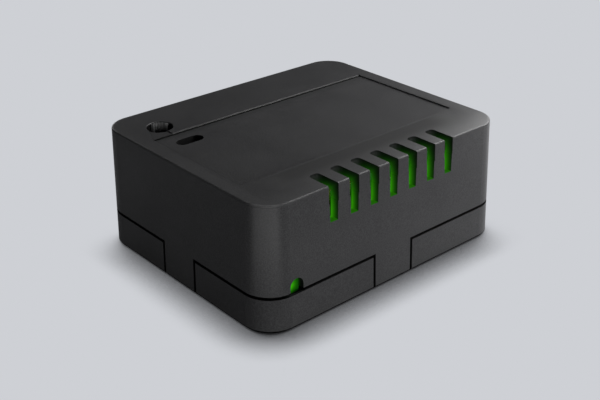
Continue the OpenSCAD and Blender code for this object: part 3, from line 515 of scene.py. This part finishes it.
# Cells of copper traces to the millimetre, how uneven they are, and the edge of the gaps between them
TRACES = 0.55
TRACE_DISORDER = 0.9
TRACE_EDGE = (0.05, 0.12)


def darker(colour, share):
    """A colour at a share of its brightness."""
    return tuple(channel * share for channel in colour)


def board_finish(name, painted_glow=0.0):
    """Green solder mask over copper traces. The radio board's front also gets a painted green glow."""
    f = Finish(name)
    near = f.cells(TRACES, TRACE_DISORDER, distance="CHEBYCHEV")
    second = f.cells(TRACES, TRACE_DISORDER, distance="CHEBYCHEV", feature="F2")
    gap = 1 - (second - near).rise(*TRACE_EDGE)
    weave = f.noise(3.0, 2.0)
    more = {}
    if painted_glow:
        front = f.y.under(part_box("radio_board")[0].y / MM + HAIR)
        more = {"Emission_Color": f.mix(front * painted_glow, BLACK, GLOW), "Emission_Strength": 1.0}
    return f.surface(Base_Color=f.mix(gap, (0.012, 0.115, 0.035), (0.006, 0.05, 0.018)),
                     Roughness=0.3 + weave * 0.12, Normal=f.bump(weave * 0.1 - gap * 0.6, 0.03),
                     Coat_Weight=0.3, **more)


def metal_finish(name, colour, rough=0.3):
    """Bare or plated metal with a fine drawn grain and slight tarnish."""
    f = Finish(name)
    lines = f.noise(2.0, 3.0, 0.6, (1, 1, 12))
    stain = f.noise(0.35, 3.0)
    return f.surface(Base_Color=f.mix(stain.rise(0.45, 0.75), colour, darker(colour, 0.62)), Metallic=1.0,
                     Roughness=rough + (lines - 0.5) * 0.16 + stain * 0.06,
                     Normal=f.bump(lines, 0.003))


def gloss_finish(name, colour, rough=0.28, coat=0.4, waves=0.5, bump=0.02):
    """Dipped, shrunk or poured plastic with soft waves in its gloss."""
    f = Finish(name)
    swell = f.noise(waves, 2.0)
    speck = f.noise(6.0, 2.0)
    return f.surface(Base_Color=f.mix(swell.rise(0.3, 0.7), colour, darker(colour, 0.72)),
                     Coat_Weight=coat, Coat_Roughness=0.15, Roughness=rough + (speck - 0.5) * 0.1,
                     Normal=f.bump(swell * 0.85 + speck * 0.15, bump))


def winding_finish(name, colour, pitch, axis, depth=0.05, tape=False):
    """Turns of wire, or tape over them, side by side along one axis, with painted shade between the turns.
    """
    f = Finish(name)
    turns = getattr(f, axis) / pitch
    off_middle = abs(turns - turns.math("FLOOR") - 0.5)
    scuff = f.noise(0.8, 3.0)
    return f.surface(Base_Color=f.mix(off_middle.rise(0.25, 0.5) * 0.8, colour, darker(colour, 0.45)),
                     Metallic=0.0 if tape else 0.85, Roughness=0.28 + scuff * 0.15,
                     Coat_Weight=0.6, Coat_Roughness=0.1,
                     Normal=f.bump(1 - off_middle * 2, depth))


def ferrite_finish():
    """Ground grey ferrite with small pits."""
    f = Finish("ferrite")
    pits = f.cells(3.0)
    cloud = f.noise(0.6, 4.0)
    colour = f.mix(cloud.rise(0.3, 0.7), (0.045, 0.045, 0.05), (0.085, 0.085, 0.09))
    return f.surface(Base_Color=colour, Roughness=0.55 + cloud * 0.2,
                     Normal=f.bump(pits.rise(0.0, 0.25), 0.02))


FINISHES = {
    "case_plastic": cover_finish(),
    "tray_plastic": tray_finish(),
    "plunger_plastic": moulded_plastic("plunger_plastic", (0.03, 0.03, 0.031), (0.038, 0.038, 0.039)),
    "circuit_board": board_finish("circuit_board"),
    "tinned_steel": metal_finish("tinned_steel", (0.62, 0.62, 0.60), 0.32),
    "black_resin": moulded_plastic("black_resin", (0.012, 0.012, 0.013), (0.018, 0.018, 0.019), 0.42),
    "gold_plate": metal_finish("gold_plate", (0.85, 0.60, 0.22), 0.22),
    "lamp_lens": lamp_finish(),
    "capacitor_sleeve": gloss_finish("capacitor_sleeve", (0.012, 0.018, 0.045)),
    "film_case": gloss_finish("film_case", (0.62, 0.42, 0.035), 0.35, 0.2),
    "varistor_coat": gloss_finish("varistor_coat", (0.02, 0.075, 0.30), 0.3, 0.5),
    "fuse_case": gloss_finish("fuse_case", (0.12, 0.028, 0.014), 0.4, 0.1),
    "ferrite": ferrite_finish(),
    "winding_tape": winding_finish("winding_tape", (0.62, 0.38, 0.05), 2.2, "z", 0.03, True),
    "relay_cap": gloss_finish("relay_cap", (0.02, 0.07, 0.22), 0.36, 0.15, 0.25, 0.01),
    "tinned_copper": metal_finish("tinned_copper", (0.70, 0.46, 0.28), 0.35),
    "copper_wire": winding_finish("copper_wire", (0.55, 0.16, 0.05), 0.16, "y"),
    "relay_iron": metal_finish("relay_iron", (0.50, 0.50, 0.49), 0.38),
    "terminal_plastic": moulded_plastic("terminal_plastic", (0.055, 0.06, 0.064), (0.07, 0.075, 0.08),
                                        0.45),
    "spring_steel": metal_finish("spring_steel", (0.66, 0.67, 0.68), 0.2),
    "button_plastic": moulded_plastic("button_plastic", (0.62, 0.155, 0.018), (0.72, 0.19, 0.025), 0.4),
}
# How much painted green glow the radio board's front gets
BOARD_PAINTED_GLOW = 0.22


def dress(node, material):
    """Gives one of the frame's nodes its finish."""
    materials = frame["nodes"][node].data.materials
    materials.clear()
    materials.append(material)


for part in frame["record"]["subparts"]:
    dress(part["node"], FINISHES[part["material_slot"]])
dress("radio_board", board_finish("radio_board", BOARD_PAINTED_GLOW))


# Small parts, drawn in millimetres

class Shape:
    """A mesh drawn piece by piece in millimetres."""

    def __init__(self):
        self.bm = bmesh.new()

    def block(self, low, high, bevel=0.05):
        """A box between two corners with rounded edges."""
        low, high = Vector(low), Vector(high)
        verts = bmesh.ops.create_cube(self.bm, size=1)["verts"]
        bmesh.ops.scale(self.bm, vec=high - low, verts=verts)
        bmesh.ops.translate(self.bm, vec=(low + high) / 2, verts=verts)
        edges = list({edge for vert in verts for edge in vert.link_edges})
        bmesh.ops.bevel(self.bm, geom=edges, offset=bevel, segments=2, affect="EDGES", profile=0.5)

    def turned(self, profile, centre, axis="z", sides=32):
        """A profile of (radius, height) points turned about an axis, closed at its ends."""
        rings = []
        for radius, height in profile:
            ring = []
            for i in range(sides if radius else 1):
                turn = 2 * math.pi * i / sides
                across = (radius * math.cos(turn), radius * math.sin(turn))
                place = {"z": (*across, height), "y": (across[0], -height, across[1])}[axis]
                ring.append(self.bm.verts.new(Vector(centre) + Vector(place)))
            rings.append(ring)
        for first, second in zip(rings, rings[1:]):
            for i in range(sides):
                near = first[i % len(first)], first[(i + 1) % len(first)]
                far = second[(i + 1) % len(second)], second[i % len(second)]
                self.bm.faces.new(list(dict.fromkeys((*near, *far))))
        for ring in (rings[0], rings[-1]):
            if len(ring) > 1:
                self.bm.faces.new(ring)

    def loft(self, rings):
        """Joins rings of equally many points into a skin, and closes its two ends."""
        rings = [[self.bm.verts.new(point) for point in ring] for ring in rings]
        for first, second in zip(rings, rings[1:]):
            for k in range(len(first)):
                after = (k + 1) % len(first)
                self.bm.faces.new((first[k], first[after], second[after], second[k]))
        self.bm.faces.new(rings[0])
        self.bm.faces.new(rings[-1])

    def wire(self, points, radius, sides=8):
        """A round wire along points, with rounded mitres and closed ends."""
        points = [Vector(point) for point in points]
        rings, side = [], None
        for i, point in enumerate(points):
            along = (points[min(i + 1, len(points) - 1)] - points[max(i - 1, 0)]).normalized()
            side = along.orthogonal() if side is None else side - along * side.dot(along)
            side = side.normalized()
            up = along.cross(side)
            turns = [2 * math.pi * k / sides for k in range(sides)]
            rings.append([point + radius * (side * math.cos(turn) + up * math.sin(turn))
                          for turn in turns])
        self.loft(rings)

    def band(self, points, width, thick, normal="z"):
        """A flat strip along points, lying in the plane whose normal is given."""
        points = [Vector(point) for point in points]
        up = Vector({"z": (0, 0, 1), "y": (0, -1, 0)}[normal])
        rows = []
        for i, point in enumerate(points):
            before, after = points[max(i - 1, 0)], points[min(i + 1, len(points) - 1)]
            first = (point - before).normalized() if i else (after - point).normalized()
            second = (after - point).normalized() if i < len(points) - 1 else first
            across = (first + second).normalized().cross(up)
            reach = width / 2 / max(0.4, across.dot(first.cross(up)))
            rows.append([point + across * reach * side + up * rise
                         for side, rise in ((-1, 0), (1, 0), (1, thick), (-1, thick))])
        self.loft(rows)

    def piece(self, name, slot, material=None, body="tray", sharp=35):
        """Makes an object of the shape, in metres, that rides on a body."""
        bmesh.ops.recalc_face_normals(self.bm, faces=self.bm.faces)
        bmesh.ops.scale(self.bm, vec=(MM, MM, MM), verts=self.bm.verts)
        mesh = bpy.data.meshes.new(name)
        self.bm.to_mesh(mesh)
        self.bm.free()
        mesh.polygons.foreach_set("use_smooth", [True] * len(mesh.polygons))
        mesh.set_sharp_from_angle(angle=math.radians(sharp))
        mesh.materials.append(material or FINISHES[slot])
        made = bpy.data.objects.new(name, mesh)
        bpy.context.scene.collection.objects.link(made)
        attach(made, body)


def dot(radius):
    """The profile of a round mark that stands out by a hundredth of a millimetre."""
    return [(radius, 0), (radius, 0.01), (0, 0.01)]


def middle(low, high):
    """The point halfway between two corners."""
    return (low + high) / 2


def row(count, pitch):
    """Places in a row about 0."""
    return [(k - (count - 1) / 2) * pitch for k in range(count)]


def angles(first, end, step):
    """Angles in radians, from a first one up to an end, by steps in degrees."""
    return [math.radians(degrees) for degrees in range(first, end, step)]


def on_main_board(low, high, rise):
    """Corners of a block that stands on the main board, from its corners in x and y."""
    return (*low, BOARD_TOP), (*high, BOARD_TOP + rise)


def on_radio_board(low, high, rise):
    """Corners of a block on the radio board's front, from its corners in x and z."""
    face = span("radio_board")[0].y
    return (low[0], face - rise, low[1]), (high[0], face, high[1])


def chip_parts(name, places, stand):
    """Ceramic chip parts with tinned ends, stood on a board by the given function."""
    bodies, ends = Shape(), Shape()
    for across, up, length, turned in places:
        half, cap = length / 2, length * 0.2
        # Shape, start and end along the part, how much it is thicker, and bevel
        lengths = [(bodies, -half + 0.05, half - 0.05, 0, 0.03),
                   (ends, -half, -half + cap, 0.02, 0.04),
                   (ends, half - cap, half, 0.02, 0.04)]
        for shape, start, end, grow, bevel in lengths:
            half_w, rise = length * 0.25 + grow, length * 0.28 + grow
            low, high = (start, -half_w), (end, half_w)
            if turned:
                low, high = low[::-1], high[::-1]
            shape.block(*stand((across + low[0], up + low[1]), (across + high[0], up + high[1]), rise),
                        bevel)
    bodies.piece(name + "_bodies", "black_resin")
    ends.piece(name + "_ends", "tinned_steel")


def driver_chip():
    """An eight-legged chip in front of the bulk capacitor."""
    x, y = span("bulk_capacitor")[0].x + 4.4, span("header_strip")[1].y + 2.0
    half_w, half_d, low, high = 1.95, 1.35, BOARD_TOP + 0.12, BOARD_TOP + 1.35
    leg_count, leg_pitch, leg_r = 4, 0.95, 0.09
    # Each bend of a leg: its way out from the chip's middle line, and its height
    bends = [(1.3, 0.7), (1.5, 0.68), (1.62, 0.5), (1.68, 0.18), (1.8, leg_r), (1.98, leg_r)]
    body, legs = Shape(), Shape()
    body.block((x - half_w, y - half_d, low), (x + half_w, y + half_d, high), 0.12)
    body.turned(dot(0.22), (x - 1.5, y - 0.9, high), sides=20)
    for offset in row(leg_count, leg_pitch):
        for side in (-1, 1):
            legs.wire([(x + offset, y + side * out, BOARD_TOP + up) for out, up in bends], leg_r)
    body.piece("driver_chip", "black_resin")
    legs.piece("driver_chip_legs", "tinned_steel")


def aerial():
    """The radio board's folded aerial, a thin plated strip on its front."""
    low, high = span("radio_board")
    left, right, top = low.x + 0.9, low.x + 9.6, high.z - 0.7
    bottom, feed, step = top - 2.4, 1.6, 0.62
    points = [(left, low.y, bottom - feed), (left, low.y, top)]
    x, at_top = left, True
    while x + step <= right:
        x += step
        points.append((x, low.y, top if at_top else bottom))
        at_top = not at_top
        points.append((x, low.y, top if at_top else bottom))
    strip = Shape()
    strip.band(points, 0.26, 0.035, "y")
    strip.piece("aerial", "gold_plate", sharp=20)


def radio_chip():
    """A square leadless chip on the radio board's front, with its solder lands."""
    low, high = span("radio_board")
    x, z, half, thick = high.x - 6.6, (low.z + high.z) / 2 + 0.6, 2.0, 0.75
    land_count, land_pitch, land_w, land_l, land_t = 7, 0.5, 0.12, 0.2, 0.09
    body, lands = Shape(), Shape()
    body.block((x - half, low.y - thick, z - half), (x + half, low.y, z + half), 0.07)
    body.turned(dot(0.16), (x - half + 0.45, low.y - thick, z + half - 0.45), "y", 20)
    for offset in row(land_count, land_pitch):
        for edge in (-half - land_w, half + land_w):
            for right, up, wide, tall in ((offset, edge, land_w, land_l), (edge, offset, land_l, land_w)):
                lands.block(*on_radio_board((x + right - wide, z + up - tall),
                                            (x + right + wide, z + up + tall), land_t), 0.03)
    body.piece("radio_chip", "black_resin")
    lands.piece("radio_chip_lands", "tinned_steel")


def header_solder():
    """Solder fillets round the header pins on the radio board's front."""
    face = span("radio_board")[0].y
    pin_count, pitch, pin_z = 8, 2.54, BOARD_TOP + 1.3
    profile = [(0.78, 0), (0.72, 0.06), (0.5, 0.2), (0.42, 0.36), (0, 0.4)]
    fillets = Shape()
    for x in row(pin_count, pitch):
        fillets.turned(profile, (x, face, pin_z), "y", 24)
    fillets.piece("header_solder", "tinned_steel", sharp=60)


def capacitor_details():
    """The bulk capacitor's scored metal top, the lip of its sleeve and the pale stripe."""
    low, high = span("bulk_capacitor")
    (x, y, _), radius = middle(low, high), (high.x - low.x) / 2
    top, lip, stripe = Shape(), Shape(), Shape()
    top.turned([(radius - 0.75, 0), (radius - 0.75, 0.04), (radius - 1.0, 0.06), (0.2, 0.06), (0, 0.06)],
               (x, y, high.z), sides=48)
    centre = Vector((x, y, high.z + 0.05))
    for turn in angles(0, 180, 60):
        along = Vector((math.cos(turn), math.sin(turn), 0)) * (radius - 1.6)
        top.wire([centre - along, centre, centre + along], 0.05)
    lip_r = 0.16
    ring = [(radius - 0.5 + lip_r * math.cos(turn), lip_r * math.sin(turn))
            for turn in angles(-60, 300, 30)]
    lip.turned(ring + ring[:1], (x, y, high.z - 0.02), sides=48)
    inner, outer, foot, head = radius + 0.005, radius + 0.03, BOARD_TOP + 2.0, high.z - 0.9
    section = [(inner, foot), (inner, head), (outer, head), (outer, foot)]
    stripe.loft([[(x + r * math.cos(turn), y + r * math.sin(turn), z) for r, z in section]
                 for turn in angles(215, 256, 4)])
    top.piece("capacitor_top", "tinned_steel", sharp=60)
    lip.piece("capacitor_lip", "capacitor_sleeve", sharp=60)
    stripe.piece("capacitor_stripe", "capacitor_sleeve", gloss_finish("pale_sleeve", (0.42, 0.45, 0.5)))


def core_tape():
    """Amber tape over the transformer's core that holds its halves together."""
    low, high = span("transformer_core")
    half_w, gap, thick, bevel = 1.3, 0.02, 0.07, 0.02
    reach = gap + thick
    front, back = middle(low, high).y - half_w, middle(low, high).y + half_w
    foot, top = low.z + 0.6, high.z + reach
    tape = Shape()
    tape.block((low.x - reach, front, foot), (low.x - gap, back, top), bevel)
    tape.block((high.x + gap, front, foot), (high.x + reach, back, top), bevel)
    tape.block((low.x - reach, front, high.z + gap), (high.x + reach, back, top), bevel)
    tape.piece("core_tape", "winding_tape", gloss_finish("clear_tape", (0.55, 0.33, 0.05), 0.22, 0.6))


def coil_leads():
    """Fine wires from the winding down to the transformer's pins."""
    low, high = span("transformer_coil")
    # Each bend of a lead: its way back to the middle, its way out, and its height
    bends = [(0.5, -0.35, 4.6), (0.2, 0.02, 4.2), (0, 0.12, 3.2), (0, 0.12, 1.2), (0, -0.1, 0.5)]
    leads = Shape()
    for end, outward in ((low.y, -1), (high.y, 1)):
        for side in (-1, 1):
            x = middle(low, high).x + side * ((high.x - low.x) / 2 - 0.75)
            leads.wire([(x - side * back, end + outward * out, BOARD_TOP + up) for back, out, up in bends],
                       0.11)
    leads.piece("coil_leads", "copper_wire", metal_finish("enamelled_wire", (0.62, 0.20, 0.06), 0.25),
                sharp=60)


def relay_vents():
    """A vent pip and two moulding marks on each relay's cap."""
    pip = [(0.55, 0), (0.5, 0.1), (0.3, 0.16), (0, 0.16)]
    mark = [(0.8, 0), (0.8, 0.03), (0.68, 0.03), (0.66, 0.01), (0, 0.01)]
    vents = Shape()
    for node in ("up_relay_cap", "down_relay_cap"):
        low, high = span(node)
        vents.turned(pip, (low.x + 1.5, low.y + 1.6, high.z), sides=28)
        for y in (low.y + 5.0, high.y - 3.0):
            vents.turned(mark, (middle(low, high).x, y, high.z), sides=36)
    vents.piece("relay_vents", "relay_cap", sharp=50)


# Width and thickness of the printed lines, and their room round the bulk capacitor and other parts
LINE_W = 0.14
LINE_T = 0.02
RING_ROOM = 0.2
LINE_ROOM = {"up_relay_foot": 0.12, "down_relay_foot": 0.12, "film_capacitor": 0.22, "line_fuse": 0.22,
             "sensor_socket": 0.22, "transformer_core": 0.22, "switch_body": 0.22}


def print_lines():
    """White ink outlines round the parts on the main board."""
    ink = Shape()
    for node, room in LINE_ROOM.items():
        low, high = span(node)
        corners = [(low.x - room, low.y - room), (high.x + room, low.y - room),
                   (high.x + room, high.y + room), (low.x - room, high.y + room)]
        for first, second in zip(corners, corners[1:] + corners[:1]):
            ink.band([(*first, BOARD_TOP), (*second, BOARD_TOP)], LINE_W, LINE_T)
    low, high = span("bulk_capacitor")
    (x, y, _), radius = middle(low, high), (high.x - low.x) / 2 + RING_ROOM
    ink.band([(x + radius * math.cos(turn), y + radius * math.sin(turn), BOARD_TOP)
              for turn in angles(0, 361, 12)], LINE_W, LINE_T)
    ink.piece("board_print", "circuit_board",
              moulded_plastic("board_ink", (0.62, 0.64, 0.62), (0.7, 0.72, 0.7)))


# Each chip part: x, then y on the main board or z on the radio board, its length, and whether it
# lies across
MAIN_CHIPS = [(-14.2, -10.9, 1.6, True), (-14.2, -8.9, 1.6, True), (11.9, -14.9, 2.0, False),
              (11.9, -13.4, 1.6, False), (14.3, -14.2, 1.6, True), (-12.3, 11.6, 1.6, True),
              (-12.3, 13.9, 1.6, True), (-11.0, 12.8, 1.0, True), (18.7, -15.5, 1.0, False)]
RADIO_CHIPS = [(-1.6, 9.2, 1.0, False), (-1.6, 10.4, 1.0, False), (0.4, 9.2, 1.0, False),
               (0.4, 10.4, 1.0, True), (1.9, 13.9, 1.0, False), (1.9, 12.8, 1.0, False),
               (-2.6, 13.6, 1.6, True), (11.0, 13.6, 1.0, True), (12.2, 13.6, 1.0, True),
               (-4.6, 9.6, 1.6, False), (-7.4, 9.6, 1.6, False), (11.2, 9.4, 1.6, True)]

chip_parts("board_chips", MAIN_CHIPS, on_main_board)
chip_parts("radio_chips", RADIO_CHIPS, on_radio_board)
driver_chip()
aerial()
radio_chip()
header_solder()
capacitor_details()
core_tape()
coil_leads()
relay_vents()
print_lines()


# Floor, world, lamps and camera

PALE = (0.617, 0.631, 0.665)
# How much of the pale floor shows in glossy surfaces, and the floor's own colour under the lamps
MIRRORED = 0.1
FLOOR_COLOUR = (0.3, 0.3, 0.31, 1)
# Half the floor's width in metres
FLOOR_HALF = 3.0
# How far the shadow on the floor reaches from the object, in millimetres
SHADOW_REACH = 6.6
# The shadow is thrown forward, as by light from behind the object
SHADOW_TILT = (0.64, 0.71, 0.3)
# How open the floor is to the light where its shadow is full, and where it ends
SHADOW_OPEN = (0.3, 0.97)
SHADOW_SAMPLES = 16
# Strength of the even light from all round
AMBIENT = 0.03


def ray_share(nodes):
    """1 for rays that see the background directly or through a clear part, less for mirrored ones."""
    return (nodes.node("ShaderNodeLightPath", {}, {}, "Is Camera Ray")
            .most(nodes.node("ShaderNodeLightPath", {}, {}, "Is Glossy Ray") * MIRRORED)
            .most(nodes.node("ShaderNodeLightPath", {}, {}, "Is Transmission Ray")))


def make_floor():
    """A pale floor, even all over but for the soft shadow that the object keeps on it."""
    mesh = bpy.data.meshes.new("floor")
    corners = [(-1, -1), (1, -1), (1, 1), (-1, 1)]
    mesh.from_pydata([(x * FLOOR_HALF, y * FLOOR_HALF, 0) for x, y in corners], [], [(0, 1, 2, 3)])
    floor = bpy.data.objects.new("floor", mesh)
    bpy.context.scene.collection.objects.link(floor)
    f = Finish("floor")
    tilt = f.node("ShaderNodeCombineXYZ", {}, SHADOW_TILT)
    near = f.node("ShaderNodeAmbientOcclusion", {"samples": SHADOW_SAMPLES},
                  {"Distance": SHADOW_REACH * MM, "Normal": tilt}, "AO")
    seen = f.node("ShaderNodeEmission", {}, {"Color": f.mix(near.rise(*SHADOW_OPEN), BLACK, PALE)})
    lit = f.node("ShaderNodeBsdfDiffuse", {}, {"Color": FLOOR_COLOUR})
    mesh.materials.append(f.close(f.node("ShaderNodeMixShader", {}, [ray_share(f), lit, seen])))


def make_world():
    """Pale where it is seen, and a dim even light on the object."""
    world = bpy.data.worlds.new("studio")
    bpy.context.scene.world = world
    world.use_nodes = True
    nodes = Nodes(world.node_tree)
    seen = nodes.node("ShaderNodeBackground", {}, {"Color": (*PALE, 1), "Strength": 1.0})
    lit = nodes.node("ShaderNodeBackground", {}, {"Color": (*PALE, 1), "Strength": AMBIENT})
    camera_ray = nodes.node("ShaderNodeLightPath", {}, {}, "Is Camera Ray")
    both = nodes.node("ShaderNodeMixShader", {}, [camera_ray, lit, seen])
    nodes.node("ShaderNodeOutputWorld", {}, {"Surface": both})


# Each lamp's place and size in millimetres and its power in watts
LAMPS = {
    "front_left": ((-198, -343, 56), (200, 200), 0.882),
    "front": ((0, -396, 56), (200, 200), 0.822),
    "behind": ((83, 473, 138), (160, 160), 0.225),
    "corner_low": ((75, -40, 55), (30, 30), 0.021),
    "corner_back": ((70, 5, 50), (30, 30), 0.0112),
    "corner_high": ((45, -20, 80), (30, 30), 0.078),
    "corner_front": ((62, -34, 34), (14, 14), 0.009),
    "corner_close": ((26, -27, 19), (3, 3), 0.0018),
    "right_side": ((420, 230, 8), (300, 16), 1.0),
    "back_side": ((190, 420, 8), (300, 16), 1.0),
}
# These give no gloss, or the top and its edges would shine white
DULL_LAMPS = ("front_left", "front", "corner_close", "right_side", "back_side")
# Where the lamps point, in millimetres
LAMP_AIM = (0, 0, 9)


def make_lamps():
    """Soft lamps round the object. They light it without showing in the picture."""
    for name, (place, size, power) in LAMPS.items():
        light = bpy.data.lights.new(name, "AREA")
        light.shape = "RECTANGLE"
        light.size, light.size_y = size[0] * MM, size[1] * MM
        light.energy = power
        lamp = bpy.data.objects.new(name, light)
        bpy.context.scene.collection.objects.link(lamp)
        lamp.location = Vector(place) * MM
        aim = Vector(LAMP_AIM) * MM - lamp.location
        lamp.rotation_euler = aim.to_track_quat("-Z", "Y").to_euler()
        lamp.visible_camera = False
        lamp.visible_glossy = name not in DULL_LAMPS


# The photograph's camera: where it looks, from how far and from which side, its lens and sensor in
# millimetres, its shift, and the nearest it sees
TARGET = Vector((1.685, -2.874, 9.191)) * MM
DISTANCE = 150.05 * MM
AZIMUTH = math.radians(-42.074)
ELEVATION = math.radians(25.692)
LENS = 60.157
SENSOR = 36
SHIFT = (-0.0403, -0.0321)
NEAREST = 5 * MM


def make_camera():
    """The camera at the photograph's viewing angle."""
    data = bpy.data.cameras.new("camera")
    data.lens, data.sensor_width = LENS, SENSOR
    data.shift_x, data.shift_y = SHIFT
    data.clip_start = NEAREST
    camera = bpy.data.objects.new("camera", data)
    bpy.context.scene.collection.objects.link(camera)
    across = math.cos(ELEVATION)
    out = Vector((math.sin(AZIMUTH) * across, -math.cos(AZIMUTH) * across, math.sin(ELEVATION)))
    camera.location = TARGET + out * DISTANCE
    camera.rotation_euler = (-out).to_track_quat("-Z", "Y").to_euler()
    bpy.context.scene.camera = camera


make_floor()
make_world()
make_lamps()
make_camera()
bpy.context.scene.view_settings.view_transform = "Standard"
